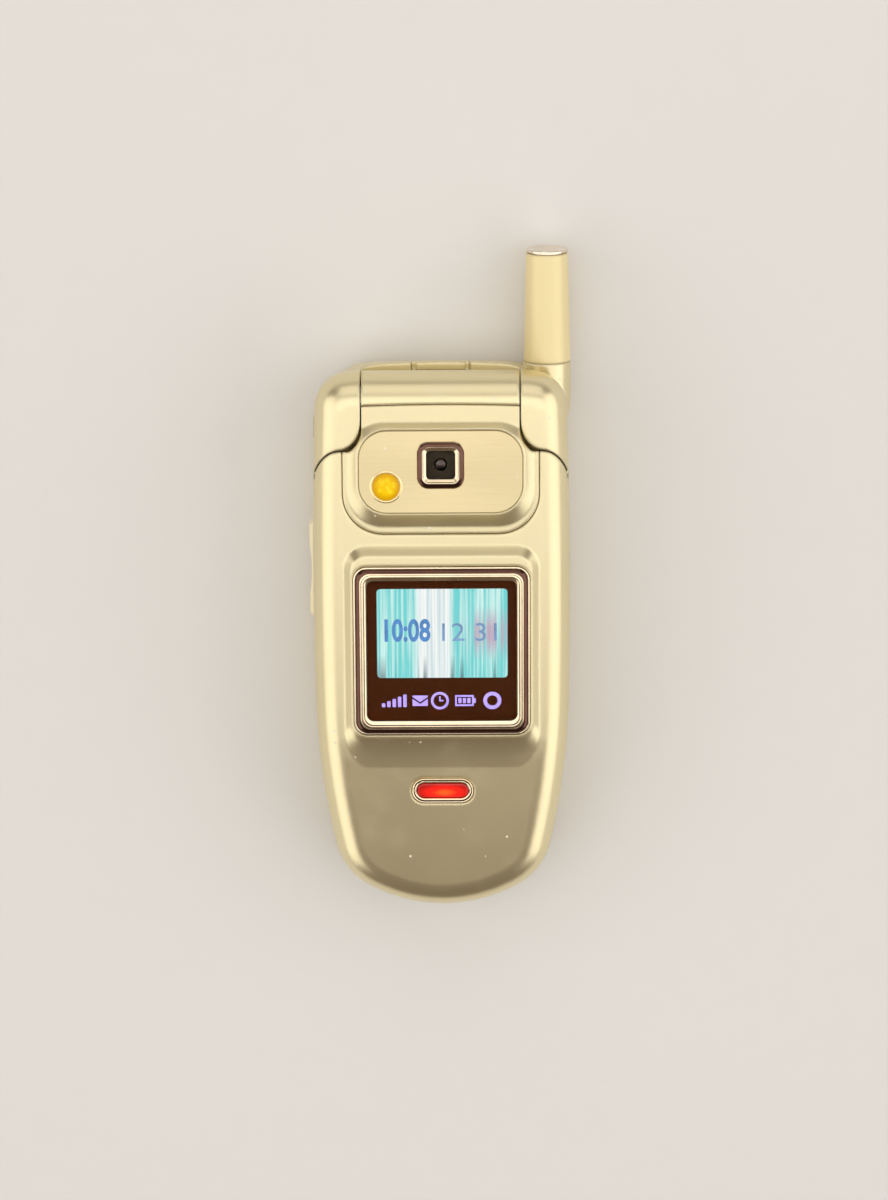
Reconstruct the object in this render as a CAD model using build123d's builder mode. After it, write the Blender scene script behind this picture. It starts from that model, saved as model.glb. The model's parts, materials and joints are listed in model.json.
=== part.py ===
from build123d import *
import os
from math import cos, radians, sin, sqrt, tan

# A clamshell mobile phone with a pull-out antenna, closed and lying on its back.
# Frame: +X to the right, +Y towards the hinge and antenna, +Z out of the closed lid.
# The origin is the middle of the flat back face. All sizes are in millimetres.

# ---------------------------------------------------------------- casing form
half_width = 22.8
widest_y = 9.0
crown_y = 49.9  # rear end on the centreline
rear_arc_r = 190.0
rear_lean = 0.8  # the sides lean in this much at the rear corners
taper_y = -10.0  # from here the sides close in towards the foot
taper_lean = 0.2
foot_y = -48.8
foot_corner_x = 18.3
foot_corner_y = -41.6
rear_corner_r = 6.5  # at the hinge ears
hip_corner_r = 12.5  # at the base below them
hip_z = 12.4  # where the ears start to stand out over the base's rear corners
hip_round = 2.2
foot_corner_r = 12.0
wall = 1.2
edge_round = 5.2  # round of the lid's rim, and the hinge barrel's radius
back_round = 4.0
rear_slope_drop = 2.6  # the rear end leans in this much, from the cover split to the back
brow_y = -15.5  # from here the lid's top bends down towards the foot
brow_r = 70.0
brow_angle = 4.0

# ---------------------------------------------------------------- heights
back_split = 8.6  # base rear cover to base front cover
deck_z = 12.8
lid_gap = 0.4
lid_split_rise = 2.2  # lid inner cover's rim height
lid_top = 20.8
deck_thickness = 2.0
key_recess = 0.8

slope_brink = 0.4  # how far a raised form's rounded brink drops
slope_root = 0.15  # where its foot starts to flare

# ---------------------------------------------------------------- fits
fit = 0.1  # pieces of one body that sit in each other
running = 0.05  # a journal in its bore
swing_gap = 0.3  # lid against base, round the hinge
cover_gap = 0.2  # round keys, flaps and sliders

# ---------------------------------------------------------------- hinge
barrel_half = 13.85
ear_gap = 0.25
barrel_bore_r = 3.3
journal_r = 2.3
journal_length = 3.4
neck_length = 5.6
ear_root_r = 9.5
ear_corner_r = 4.0
lid_corner_r = 2.4
ear_flare_gap = 0.3  # from the flare's end to the casing's widest point
ear_land = 0.1  # straight stretch between the ear's corner and its flare
cartridge_length = 12.6
sleeve_length = 9.0
sleeve_bore_r = 1.4

# ---------------------------------------------------------------- camera panel
panel_half = 17.4
panel_foot_y = 21.0
panel_corner_r = 7.3
panel_thickness = 1.1
panel_arch = 0.4
panel_seam = 0.15  # open line round the panel
panel_edge = 0.15
shelf_thickness = 1.2
pod_rise = 1.4
pod_y = 32.55
plate_width = 28.8
plate_length = 14.7
plate_corner_r = 5.0
plate_thickness = 0.4
pod_rim = 0.35  # rim round the plate
pod_side_run = 2.0  # how far the pod's slopes run out to the sides
pod_rear_run = 1.1
pod_foot_run = 2.7
pod_share = 0.2  # share of each run that the slope's rounded brink takes
camera_y = 33.8
camera_width = 8.5
camera_corner_r = 2.1
camera_frame_width = 6.4
camera_window_width = 5.0
camera_rise = 0.6
camera_body_width = 7.0
flash_x = -9.6
flash_y = 29.9
flash_r = 2.45
flash_rim = 0.45

# ---------------------------------------------------------------- outer display
display_y = 0.2
bezel_width = 31.2
bezel_length = 30.6
bezel_corner_r = 2.4
bezel_rise = 0.6
bezel_depth = 1.0
bezel_land = 0.45  # the thin step round the bezel's raised ring
bezel_slope = 0.35
window_width = 26.5
window_length = 25.3
window_corner_r = 1.2
window_thickness = 0.8
window_sink = 0.15
plateau_rise = 1.5
plateau_rim = 0.3
plateau_rear_land = 1.9  # flat stretch between the bezel and the rear slope
plateau_side_run = 1.7
plateau_rear_run = 1.9
plateau_foot_run = 5.4
plateau_share = 0.22
plateau_sweep = 1.6  # draws the foot slope out into a long hollow
module_wall = 0.9  # the covers' ledge under the display window

# ---------------------------------------------------------------- indicator lamp
lamp_y = -26.0
lamp_length = 9.2
lamp_width = 2.8
lamp_rim = 0.9
lamp_rim_rise = 0.15
lamp_rim_depth = 0.5

# ---------------------------------------------------------------- lid inside
main_window_width = 34.0
main_window_length = 46.0
main_window_y = 0.5
main_window_thickness = 0.9
main_window_corner_r = 2.0
main_view_width = 30.0
main_view_length = 38.0
main_module_thickness = 2.0
lid_board_gap = 0.2
lid_board_thickness = 0.8
lid_board_width = 33.0
lid_board_length = 56.0
lid_board_y = 4.0
earpiece_y = -37.6
earpiece_width = 12.0
earpiece_length = 6.0
earpiece_thickness = 2.6
grille_width = 9.0
grille_length = 2.6
grille_thickness = 0.7
grille_pitch = 1.5
grille_slots = 5
lid_screw_x = 18.9
lid_screw_y = 26.0
lid_foot_screw_x = 14.6
lid_foot_screw_y = -36.0
lid_boss_r = 1.8
lid_screw_grip = 2.4
lid_head_r = 1.2
lid_head_depth = 0.9
lid_shank_r = 0.7
bumper_x = 18.2
bumper_y = -30.6
bumper_r = 1.1
bumper_seat = 0.7

# ---------------------------------------------------------------- keypad
key_rise = 0.7
key_travel = 0.4
key_width = 10.6
key_length = 6.4
key_corner_r = 2.2
key_pitch_x = 12.3
key_pitch_y = 8.5
first_row_y = -0.5
key_edge = 0.35
key_lip = 0.5
key_flange = 0.7
stem_r = 1.3
ring_y = 19.5
ring_r = 8.5
ok_r = 3.6
side_key_x = 15.2
soft_key_y = 25.2
call_key_y = 14.0
side_key_width = 7.4
side_key_length = 5.2
clear_y = 6.8
clear_width = 7.6
clear_length = 4.2
recess_width = 39.0
recess_length = 61.0
recess_y = -0.5
recess_corner_r = 6.0

# ---------------------------------------------------------------- base inside
battery_half = 16.0
battery_rear_y = 22.5
battery_foot_y = -36.5
battery_height = 5.5
battery_corner_r = 4.0
battery_gap = 0.2
battery_groove = 0.5
board_gap = 0.5
board_thickness = 1.0
board_inset = 1.4
board_right_x = 17.0
membrane_thickness = 0.6
membrane_half = 16.6
membrane_rear_y = 28.4
membrane_foot_y = -30.8
screw_x = 12.5
screw_y = 31.2
foot_screw_x = 9.4
foot_screw_y = -40.4
boss_r = 2.2
head_r = 1.6
head_height = 1.2
head_z = 3.0
shank_r = 0.8
shield_width = 16.0
shield_length = 9.0
shield_height = 3.0
shield_y = 31.5
speaker_x = 3.0
speaker_y = 39.0
speaker_r = 5.2
speaker_height = 3.0
speaker_slot_length = 6.0
speaker_slot_width = 0.9
speaker_slot_pitch = 1.9
speaker_slots = 4

# ---------------------------------------------------------------- latch, rocker and flaps
latch_half = 5.0
latch_length = 4.0
latch_travel = 2.5
latch_thickness = 1.8
latch_sink = 0.1
latch_tongue_half = 3.0
latch_tongue_reach = 0.8
latch_tongue_thickness = 0.8
latch_ribs = 4
rocker_y = 12.55
rocker_length = 17.8
rocker_height = 4.0
rocker_rise = 0.8
rocker_waist = 0.35
rocker_thickness = 1.3
rocker_pin_r = 0.4
rocker_pin_length = 0.9
jack_y = 37.6
jack_r = 1.25
jack_block_height = 3.6
jack_block_length = 12.0
jack_flap_length = 3.4
jack_flap_height = 3.4
flap_thickness = 0.9
jack_flap_rise = 0.4
jack_tail = 0.8  # flush strap between the flap's raised lip and its swing axis
port_half = 6.5
port_height = 2.5
port_depth = 5.4
port_slot_height = 1.2
port_flap_height = 3.2
plug_half = 4.4
plug_rear_half = 5.2
plug_length = 1.6
plug_thickness = 0.9

# ---------------------------------------------------------------- antenna
antenna_x = 18.9
antenna_z = 6.3
fairing_r = 4.25
fairing_y = 49.4
fairing_shoulder_y = 44.0
fairing_nose_y = 35.6
fairing_nose_r = 2.6
stub_root_r = 4.15
stub_end_r = 3.7
stub_end_y = 68.75
spigot_r = 2.4
spigot_length = 3.0
whip_r = 0.8
whip_travel = 60.0
stopper_r = 1.05
stopper_length = 3.0
tip_groove_r = 3.2
tip_groove = 0.25
tip_r = 3.75
tip_length = 0.45
tip_dish = 0.2
antenna_seam = 0.1

# ---------------------------------------------------------------- derived places
rear_x = half_width - rear_lean
taper_x = half_width - taper_lean
brow_end_y = brow_y - brow_r * sin(radians(brow_angle))
brow_drop = brow_r * (1 - cos(radians(brow_angle)))
brow_slope = tan(radians(brow_angle))


def arc_drop(radius, run):
    """Distance that an arc falls from its crown over a sideways run."""
    return radius - sqrt(radius**2 - run**2)


barrel_r = edge_round
hinge_y = crown_y - arc_drop(rear_arc_r, barrel_half) - barrel_r
hinge_z = lid_top - barrel_r
neck_y = hinge_y - neck_length
ear_x = barrel_half + ear_gap
ear_flare_x = half_width - ear_flare_gap
ear_flare_r = ear_flare_x - ear_x - ear_corner_r - ear_land
lip_z = hinge_z - barrel_r - swing_gap

lid_floor = deck_z + lid_gap
lid_split = lid_floor + lid_split_rise
lid_inner_z = lid_floor + wall
panel_z = lid_top - panel_thickness
pod_top = lid_top + pod_rise
plateau_top = lid_top + plateau_rise
bezel_top = plateau_top + bezel_rise
bezel_z = plateau_top - bezel_depth
window_z = bezel_z + fit
window_top = window_z + window_thickness

deck_under = deck_z - deck_thickness
key_floor = deck_z - key_recess
key_top = key_floor + key_rise
flange_top = deck_under - fit
flange_z = flange_top - key_flange
bay_ceiling = battery_height + battery_gap
board_z = bay_ceiling + wall + board_gap
board_top = board_z + board_thickness
membrane_top = board_top + membrane_thickness
stem_z = membrane_top + key_travel + running

whip_foot_y = fairing_y - spigot_length - fit - whip_travel - stopper_length
rocker_pin_x = -half_width + rocker_thickness / 2
lamp_z = lid_top - brow_drop - (brow_end_y - lamp_y) * brow_slope
camera_hole = (camera_body_width + 2 * fit, camera_body_width + 2 * fit)

screw_places = [
    (screw_x, screw_y),
    (-screw_x, screw_y),
    (foot_screw_x, foot_screw_y),
    (-foot_screw_x, foot_screw_y),
]
lid_screw_places = [
    (lid_screw_x, lid_screw_y),
    (-lid_screw_x, lid_screw_y),
    (lid_foot_screw_x, lid_foot_screw_y),
    (-lid_foot_screw_x, lid_foot_screw_y),
]
bumper_places = [(bumper_x, bumper_y), (-bumper_x, bumper_y)]

hinge_axis = Axis((0, hinge_y, hinge_z), (1, 0, 0))
hinge_plane = Plane(origin=(0, hinge_y, hinge_z), x_dir=(1, 0, 0), z_dir=(0, 0, 1))
antenna_axis = Axis((antenna_x, 0, antenna_z), (0, 1, 0))
antenna_plane = Plane(origin=(antenna_x, 0, antenna_z), x_dir=(1, 0, 0), z_dir=(0, 0, 1))
lamp_plane = Plane(origin=(0, lamp_y, lamp_z), x_dir=(1, 0, 0), z_dir=(0, -brow_slope, 1))
reach = 200.0  # longer than the phone, for cutting blocks


# ---------------------------------------------------------------- helpers
def block(x_range, y_range, z_range, mode=Mode.ADD):
    """A plain block between two corners, in the open part."""
    size = [high - low for low, high in (x_range, y_range, z_range)]
    middle = [(high + low) / 2 for low, high in (x_range, y_range, z_range)]
    with Locations(Vector(*middle)):
        return Box(*size, mode=mode)


def slab(z_low, z_high, mode=Mode.INTERSECT):
    """Keep or cut all that lies between two heights."""
    return block((-reach, reach), (-reach, reach), (z_low, z_high), mode)


def pad(centre, size, corner, z_low, z_high, mode=Mode.ADD, base=Plane.XY):
    """A rounded rectangle, extruded between two heights over a plane, in the open part."""
    with BuildSketch(base.offset(z_low)) as face:
        with Locations(centre):
            RectangleRounded(size[0], size[1], corner)
    extrude(face.sketch, amount=z_high - z_low, mode=mode)


def disc(centre, radius, z_low, z_high, mode=Mode.ADD):
    """An upright cylinder between two heights, in the open part."""
    with BuildSketch(Plane.XY.offset(z_low)) as face:
        with Locations(centre):
            Circle(radius)
    extrude(face.sketch, amount=z_high - z_low, mode=mode)


def slope_steps(low_z, high_z, brink_share):
    """Heights of a raised form's soft slope, with the share of its run at each."""
    return (
        (low_z - slope_brink, 1.2),
        (low_z + slope_root, 0.75),
        (high_z - slope_brink, brink_share),
        (high_z, 0.0),
    )


def rod(points, mode=Mode.ADD):
    """Revolve a stepped profile of (y, radius) points about the antenna's axis."""
    with BuildSketch(antenna_plane) as face:
        with BuildLine():
            Polyline([(0, points[0][0])] + [(r, y) for y, r in points] + [(0, points[-1][0])], close=True)
        make_face()
    revolve(face.sketch, axis=antenna_axis, mode=mode)


def hinge_rod(x_range, radius, mode=Mode.ADD):
    """A cylinder along the hinge line between two places, in the open part."""
    end = Plane(origin=(x_range[0], hinge_y, hinge_z), x_dir=(0, 1, 0), z_dir=(1, 0, 0))
    with BuildSketch(end) as face:
        Circle(radius)
    extrude(face.sketch, amount=x_range[1] - x_range[0], mode=mode)


def export(piece, name):
    """Label a finished piece and write it as its own STEP file."""
    piece.part.label = name
    export_step(piece.part, f"parts/{name}.step")


os.makedirs("parts", exist_ok=True)

# ---------------------------------------------------------------- master forms
def plan(inset, rear_r=rear_corner_r):
    """The casing's outline seen from above, moved in all round by an inset."""
    rear_y = crown_y - arc_drop(rear_arc_r, rear_x)
    with BuildSketch() as outline:
        with BuildLine():
            side = ThreePointArc((rear_x, rear_y), (half_width, widest_y), (taper_x, taper_y))
            TangentArc(side @ 1, (foot_corner_x, foot_corner_y), tangent=side % 1)
            mirror(about=Plane.YZ)
            ThreePointArc((-rear_x, rear_y), (0, crown_y), (rear_x, rear_y))
            ThreePointArc((-foot_corner_x, foot_corner_y), (0, foot_y), (foot_corner_x, foot_corner_y))
        make_face()
        if inset:
            offset(amount=-inset, kind=Kind.INTERSECTION)
        fillet(outline.vertices().group_by(Axis.Y)[-1], rear_r - inset)
        fillet(outline.vertices().group_by(Axis.Y)[0], foot_corner_r - inset)
    return outline.sketch


def brow_cut(inset):
    """What the lid's brow takes off the casing's top, seen from the side."""
    with BuildSketch(Plane.YZ) as profile:
        with BuildLine():
            brow = CenterArc((brow_y, lid_top - brow_r), brow_r - inset, 90, brow_angle)
            slope_run = brow_end_y - foot_y + wall
            foot_end = (brow @ 1) - Vector(slope_run, slope_run * brow_slope)
            Polyline(brow @ 1, foot_end, (foot_end.X, lid_top - inset), brow @ 0)
        make_face()
    return profile.sketch


def rear_cut(inset):
    """What the leaning rear end takes off the casing below the cover split."""
    slope_y = crown_y - inset
    with BuildSketch(Plane.YZ) as profile:
        with BuildLine():
            Polyline(
                (slope_y, back_split),
                (slope_y - rear_slope_drop, 0),
                (slope_y + wall, 0),
                (slope_y + wall, back_split),
                close=True,
            )
        make_face()
    return profile.sketch


def casing(inset):
    """The whole closed casing as one solid, moved in on every side by an inset."""
    with BuildPart() as form:
        with BuildSketch(Plane.XY.offset(inset)):
            add(plan(inset, hip_corner_r))
        extrude(amount=hip_z + hip_round + fit - inset)
        fillet(form.faces().sort_by(Axis.Z)[0].edges(), back_round - inset)
        extrude(rear_cut(inset), amount=half_width, both=True, mode=Mode.SUBTRACT)
        with BuildPart(mode=Mode.PRIVATE) as upper:
            with BuildSketch(Plane.XY.offset(hip_z)):
                add(plan(inset))
            extrude(amount=lid_top - hip_z - inset)
            fillet(upper.faces().sort_by(Axis.Z)[0].edges(), hip_round)
        add(upper.part)
        extrude(brow_cut(inset), amount=half_width, both=True, mode=Mode.SUBTRACT)
        rim = form.edges().filter_by(lambda edge: edge.center().Z > hinge_z).filter_by(Axis.X, reverse=True)
        fillet(rim, edge_round - inset)
    return form.part


def knuckles(inner_x, corner, grow):
    """Both hinge ears as turned forms about the hinge line, grown by a gap."""
    root = ear_root_r + grow
    flare_x = ear_flare_x - grow
    flare_top = root + ear_flare_r
    outer_x = half_width + wall
    with BuildPart() as form:
        with BuildSketch(hinge_plane) as profile:
            with BuildLine():
                Polyline(
                    (inner_x, 0),
                    (inner_x, root),
                    (flare_x, root),
                    (flare_x, flare_top),
                    (outer_x, flare_top),
                    (outer_x, 0),
                    close=True,
                )
            make_face()
            fillet(profile.vertices().sort_by_distance((inner_x, root))[0], corner)
            fillet(profile.vertices().sort_by_distance((flare_x, root))[0], ear_flare_r - grow)
        revolve(axis=hinge_axis)
        mirror(about=Plane.YZ)
    return form.part


def fairing(grow):
    """The antenna's bullet-shaped housing, grown by a seam."""
    with BuildPart() as form:
        with BuildSketch(antenna_plane):
            with BuildLine():
                shoulder = (fairing_r + grow, fairing_shoulder_y)
                nose = (fairing_nose_r + grow, fairing_nose_y)
                Line((0, fairing_y), (fairing_r + grow, fairing_y))
                Line((fairing_r + grow, fairing_y), shoulder)
                TangentArc(shoulder, nose, tangent=(0, -1))
                Line(nose, (0, fairing_nose_y - fairing_nose_r - grow))
                Line((0, fairing_nose_y - fairing_nose_r - grow), (0, fairing_y))
            make_face()
        revolve(axis=antenna_axis)
    return form.part


hull = casing(0)
core = casing(wall)
ears = knuckles(ear_x, ear_corner_r, 0)
lid_clearance = knuckles(barrel_half, lid_corner_r, swing_gap)
lid_end_walls = knuckles(barrel_half - wall, lid_corner_r + wall, swing_gap + wall)

with BuildPart() as lid_hollow:
    add(core)
    slab(lid_inner_z, lid_top)
    add(lid_end_walls, mode=Mode.SUBTRACT)
    block((-half_width, half_width), (neck_y - wall, reach), (0, reach), Mode.SUBTRACT)

def panel_form(inset):
    """The camera panel's plate, moved in all round by an inset."""
    half = panel_half - inset
    foot = panel_foot_y + inset
    rear = hinge_y - panel_arch / 2 - inset
    with BuildPart() as form:
        with BuildSketch(Plane.XY.offset(panel_z)) as face:
            with BuildLine():
                arch = ThreePointArc((-half, rear), (0, rear + panel_arch), (half, rear))
                Polyline(arch @ 1, (half, foot), (-half, foot), arch @ 0)
            make_face()
            fillet(face.vertices().group_by(Axis.Y)[0], panel_corner_r - inset)
        extrude(amount=panel_thickness)
    return form.part


# ---------------------------------------------------------------- lid covers
def lid_bosses(z_low, z_high, radius, mode=Mode.ADD):
    """One cylinder at each lid screw."""
    for place in lid_screw_places:
        disc(place, radius, z_low, z_high, mode)


with BuildPart() as lid_front_cover:
    add(hull)
    slab(lid_split, lid_top)
    # soft plateau that carries the outer display
    for z, share in slope_steps(lid_top, plateau_top, plateau_share):
        side_run = plateau_rim + plateau_side_run * share
        rear_run = plateau_rear_land + plateau_rear_run * share
        foot_run = plateau_rim + plateau_foot_run * share**plateau_sweep
        with BuildSketch(Plane.XY.offset(z)):
            with Locations((0, display_y + (rear_run - foot_run) / 2)):
                width = bezel_width + 2 * side_run
                RectangleRounded(width, bezel_length + rear_run + foot_run, bezel_corner_r + side_run)
    loft()
    add(lid_hollow.part, mode=Mode.SUBTRACT)
    # camera shelf under the panel
    shelf_half = panel_half + wall
    block((-shelf_half, shelf_half), (panel_foot_y - wall, neck_y), (panel_z - shelf_thickness, panel_z))
    with BuildPart(mode=Mode.PRIVATE) as lid_posts:
        lid_bosses(lid_split, lid_top, lid_boss_r)
        add(hull.moved(Location((0, 0, -wall / 2))), mode=Mode.INTERSECT)
    add(lid_posts.part)
    lid_bosses(lid_split, lid_split + lid_screw_grip, lid_shank_r + running, Mode.SUBTRACT)
    add(panel_form(0), mode=Mode.SUBTRACT)
    add(lid_clearance, mode=Mode.SUBTRACT)
    block((-barrel_half, barrel_half), (neck_y, reach), (0, reach), Mode.SUBTRACT)
    pad((0, camera_y), camera_hole, camera_corner_r / 2, lid_split, lid_top, Mode.SUBTRACT)
    disc((flash_x, flash_y), flash_r, lid_split, lid_top, Mode.SUBTRACT)
    # display recess and opening
    bezel_seat = (bezel_width + 2 * fit, bezel_length + 2 * fit)
    pad((0, display_y), bezel_seat, bezel_corner_r + fit, bezel_z, reach, Mode.SUBTRACT)
    pad(
        (0, display_y),
        (window_width - 2 * module_wall, window_length - 2 * module_wall),
        window_corner_r,
        lid_inner_z,
        reach,
        Mode.SUBTRACT,
    )
    # indicator lamp seat
    lamp_seat = (lamp_length + 2 * lamp_rim + 2 * fit, lamp_width + 2 * lamp_rim + 2 * fit)
    lamp_hole = (lamp_length + 2 * fit, lamp_width + 2 * fit)
    pad((0, 0), lamp_seat, lamp_width / 2 + lamp_rim, -lamp_rim_depth, wall, Mode.SUBTRACT, lamp_plane)
    pad((0, 0), lamp_hole, lamp_width / 2, -2 * wall, wall, Mode.SUBTRACT, lamp_plane)
export(lid_front_cover, "lid_front_cover")

with BuildPart() as lid_inner_cover:
    add(hull)
    slab(lid_floor, lid_split)
    add(lid_hollow.part, mode=Mode.SUBTRACT)
    lid_bosses(lid_floor, lid_split, lid_boss_r)
    lid_bosses(lid_floor, lid_split, lid_shank_r + running, Mode.SUBTRACT)
    lid_bosses(lid_floor, lid_floor + lid_head_depth, lid_head_r + fit, Mode.SUBTRACT)
    add(lid_clearance, mode=Mode.SUBTRACT)
    block((-barrel_half, barrel_half), (neck_y, reach), (0, reach), Mode.SUBTRACT)
    pad(
        (0, main_window_y),
        (main_window_width + 2 * fit, main_window_length + 2 * fit),
        main_window_corner_r + fit,
        lid_floor,
        lid_floor + main_window_thickness + fit,
        Mode.SUBTRACT,
    )
    main_view = (main_view_width, main_view_length)
    pad((0, main_window_y), main_view, main_window_corner_r, lid_floor, lid_split, Mode.SUBTRACT)
    pad(
        (0, earpiece_y),
        (grille_width + 2 * fit, grille_length + 2 * fit),
        grille_length / 2,
        lid_floor,
        lid_floor + grille_thickness,
        Mode.SUBTRACT,
    )
    sound_hole = (grille_width - grille_pitch, grille_length - grille_pitch / 2)
    pad((0, earpiece_y), sound_hole, grille_pitch / 2, lid_floor, lid_split, Mode.SUBTRACT)
    for place in bumper_places:
        disc(place, bumper_r, lid_floor, lid_floor + bumper_seat, Mode.SUBTRACT)
export(lid_inner_cover, "lid_inner_cover")

# ---------------------------------------------------------------- hinge
with BuildPart() as hinge_barrel:
    hinge_rod((-barrel_half, barrel_half), barrel_r)
    block((-barrel_half, barrel_half), (neck_y, hinge_y), (lid_floor, panel_z))
    add(panel_form(0), mode=Mode.SUBTRACT)
    hinge_rod((-barrel_half, barrel_half), barrel_bore_r, Mode.SUBTRACT)
export(hinge_barrel, "hinge_barrel")

with BuildPart() as hinge_cartridge:
    hinge_rod((-barrel_half, -barrel_half + cartridge_length), barrel_bore_r - fit)
    chamfer(hinge_cartridge.faces().sort_by(Axis.X)[-1].edges(), barrel_bore_r / 6)
    hinge_rod((-barrel_half - journal_length, -barrel_half), journal_r)
    chamfer(hinge_cartridge.faces().sort_by(Axis.X)[0].edges(), journal_r / 6)
export(hinge_cartridge, "hinge_cartridge")

with BuildPart() as hinge_sleeve:
    hinge_rod((barrel_half - sleeve_length, barrel_half), barrel_bore_r - fit)
    hinge_rod((barrel_half, barrel_half + journal_length), journal_r)
    hinge_rod((barrel_half - sleeve_length, barrel_half + journal_length), sleeve_bore_r, Mode.SUBTRACT)
export(hinge_sleeve, "hinge_sleeve")

# ---------------------------------------------------------------- camera
with BuildPart() as camera_panel:
    add(panel_form(panel_seam))
    fillet(camera_panel.faces().sort_by(Axis.Z)[-1].edges(), panel_edge)
    for z, share in slope_steps(lid_top, pod_top, pod_share):
        side_run = pod_rim + pod_side_run * share
        rear_run = pod_rim + pod_rear_run * share
        foot_run = pod_rim + pod_foot_run * share
        with BuildSketch(Plane.XY.offset(z)):
            with Locations((0, pod_y + (rear_run - foot_run) / 2)):
                width = plate_width + 2 * side_run
                RectangleRounded(width, plate_length + rear_run + foot_run, plate_corner_r + rear_run)
    loft()
    slab(panel_z, pod_top)
    add(lid_clearance, mode=Mode.SUBTRACT)
    pad(
        (0, pod_y),
        (plate_width + 2 * fit, plate_length + 2 * fit),
        plate_corner_r + fit,
        pod_top - plate_thickness,
        pod_top,
        Mode.SUBTRACT,
    )
    pad((0, camera_y), camera_hole, camera_corner_r / 2, panel_z, pod_top, Mode.SUBTRACT)
    disc((flash_x, flash_y), flash_r, panel_z, pod_top, Mode.SUBTRACT)
export(camera_panel, "camera_panel")

with BuildPart() as camera_plate:
    pad((0, pod_y), (plate_width, plate_length), plate_corner_r, pod_top - plate_thickness, pod_top)
    chamfer(camera_plate.faces().sort_by(Axis.Z)[-1].edges(), fit)
    pad((0, camera_y), (camera_frame_width,) * 2, camera_corner_r / 2, panel_z, pod_top, Mode.SUBTRACT)
    disc((flash_x, flash_y), flash_r - flash_rim, panel_z, pod_top, Mode.SUBTRACT)
export(camera_plate, "camera_plate")

camera_top = pod_top + camera_rise
with BuildPart() as camera_bezel:
    pad((0, camera_y), (camera_width,) * 2, camera_corner_r, pod_top, camera_top)
    fillet(camera_bezel.faces().sort_by(Axis.Z)[-1].edges(), camera_rise / 2)
    frame_floor = pod_top + camera_rise / 3
    frame = (camera_frame_width, camera_frame_width)
    hole = (camera_window_width, camera_window_width)
    pad((0, camera_y), frame, camera_corner_r / 2, frame_floor, camera_top, Mode.SUBTRACT)
    pad((0, camera_y), hole, camera_corner_r / 3, pod_top, camera_top, Mode.SUBTRACT)
export(camera_bezel, "camera_bezel")

with BuildPart() as camera_window:
    pad(
        (0, camera_y),
        (camera_window_width - fit,) * 2,
        camera_corner_r / 3,
        pod_top - plate_thickness + fit,
        pod_top + fit,
    )
export(camera_window, "camera_window")

lid_board_z = lid_inner_z + main_module_thickness + lid_board_gap
lid_board_top = lid_board_z + lid_board_thickness
lens_r = camera_window_width / 2 - 2 * fit
with BuildPart() as camera_module:
    barrel_top = pod_top - plate_thickness
    body = (camera_body_width, camera_body_width)
    pad((0, camera_y), body, camera_corner_r / 2, lid_board_top, barrel_top - lens_r / 2)
    disc((0, camera_y), lens_r, lid_board_top, barrel_top)
    disc((0, camera_y), lens_r / 2, barrel_top - lens_r / 4, pod_top, Mode.SUBTRACT)
export(camera_module, "camera_module")

with BuildPart() as flash_lens:
    disc((flash_x, flash_y), flash_r - flash_rim - fit, lid_board_top, pod_top)
    disc((flash_x, flash_y), flash_r + flash_rim, pod_top, pod_top + fit)
    disc((flash_x, flash_y), flash_r, pod_top, pod_top + flash_rim)
    fillet(flash_lens.faces().sort_by(Axis.Z)[-1].edges(), flash_rim / 2)
export(flash_lens, "flash_lens")

# ---------------------------------------------------------------- outer display
with BuildPart() as display_bezel:
    pad((0, display_y), (bezel_width, bezel_length), bezel_corner_r, bezel_z, plateau_top + bezel_rise / 4)
    ring_width = bezel_width - 2 * bezel_land
    ring_length = bezel_length - 2 * bezel_land
    pad((0, display_y), (ring_width, ring_length), bezel_corner_r - bezel_land, plateau_top, bezel_top)
    chamfer(display_bezel.faces().sort_by(Axis.Z)[-1].edges(), bezel_slope)
    pad(
        (0, display_y),
        (window_width + 2 * bezel_land, window_length + 2 * bezel_land),
        window_corner_r + bezel_land,
        window_top + window_sink,
        bezel_top,
        Mode.SUBTRACT,
    )
    pad(
        (0, display_y),
        (window_width + 2 * running, window_length + 2 * running),
        window_corner_r,
        bezel_z,
        bezel_top,
        Mode.SUBTRACT,
    )
export(display_bezel, "display_bezel")

with BuildPart() as display_window:
    pad((0, display_y), (window_width, window_length), window_corner_r, window_z - fit, window_top)
export(display_window, "display_window")

with BuildPart() as sub_display_module:
    module_width = window_width - 2 * module_wall - 2 * fit
    module_length = window_length - 2 * module_wall - 2 * fit
    pad((0, display_y), (module_width, module_length), window_corner_r, lid_board_top, bezel_z - 2 * fit)
export(sub_display_module, "sub_display_module")

# ---------------------------------------------------------------- indicator lamp
with BuildPart() as indicator_rim:
    rim_size = (lamp_length + 2 * lamp_rim, lamp_width + 2 * lamp_rim)
    rim_corner = lamp_width / 2 + lamp_rim - fit
    pad((0, 0), rim_size, rim_corner, -lamp_rim_depth, lamp_rim_rise, base=lamp_plane)
    fillet(indicator_rim.faces().sort_by(Axis.Z)[-1].edges(), lamp_rim_depth / 2)
    lens_hole = (lamp_length, lamp_width)
    pad((0, 0), lens_hole, lamp_width / 2 - running, -wall, wall, Mode.SUBTRACT, lamp_plane)
export(indicator_rim, "indicator_rim")

with BuildPart() as indicator_lens:
    lens_size = (lamp_length - 2 * fit, lamp_width - 2 * fit)
    lens_foot = lid_board_top - lamp_z + 2 * fit
    pad((0, 0), lens_size, lamp_width / 2 - 2 * fit, lens_foot, lamp_rim_rise / 2, base=lamp_plane)
    fillet(indicator_lens.faces().sort_by(Axis.Z)[-1].edges(), lamp_rim_depth / 2)
export(indicator_lens, "indicator_lens")

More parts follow.
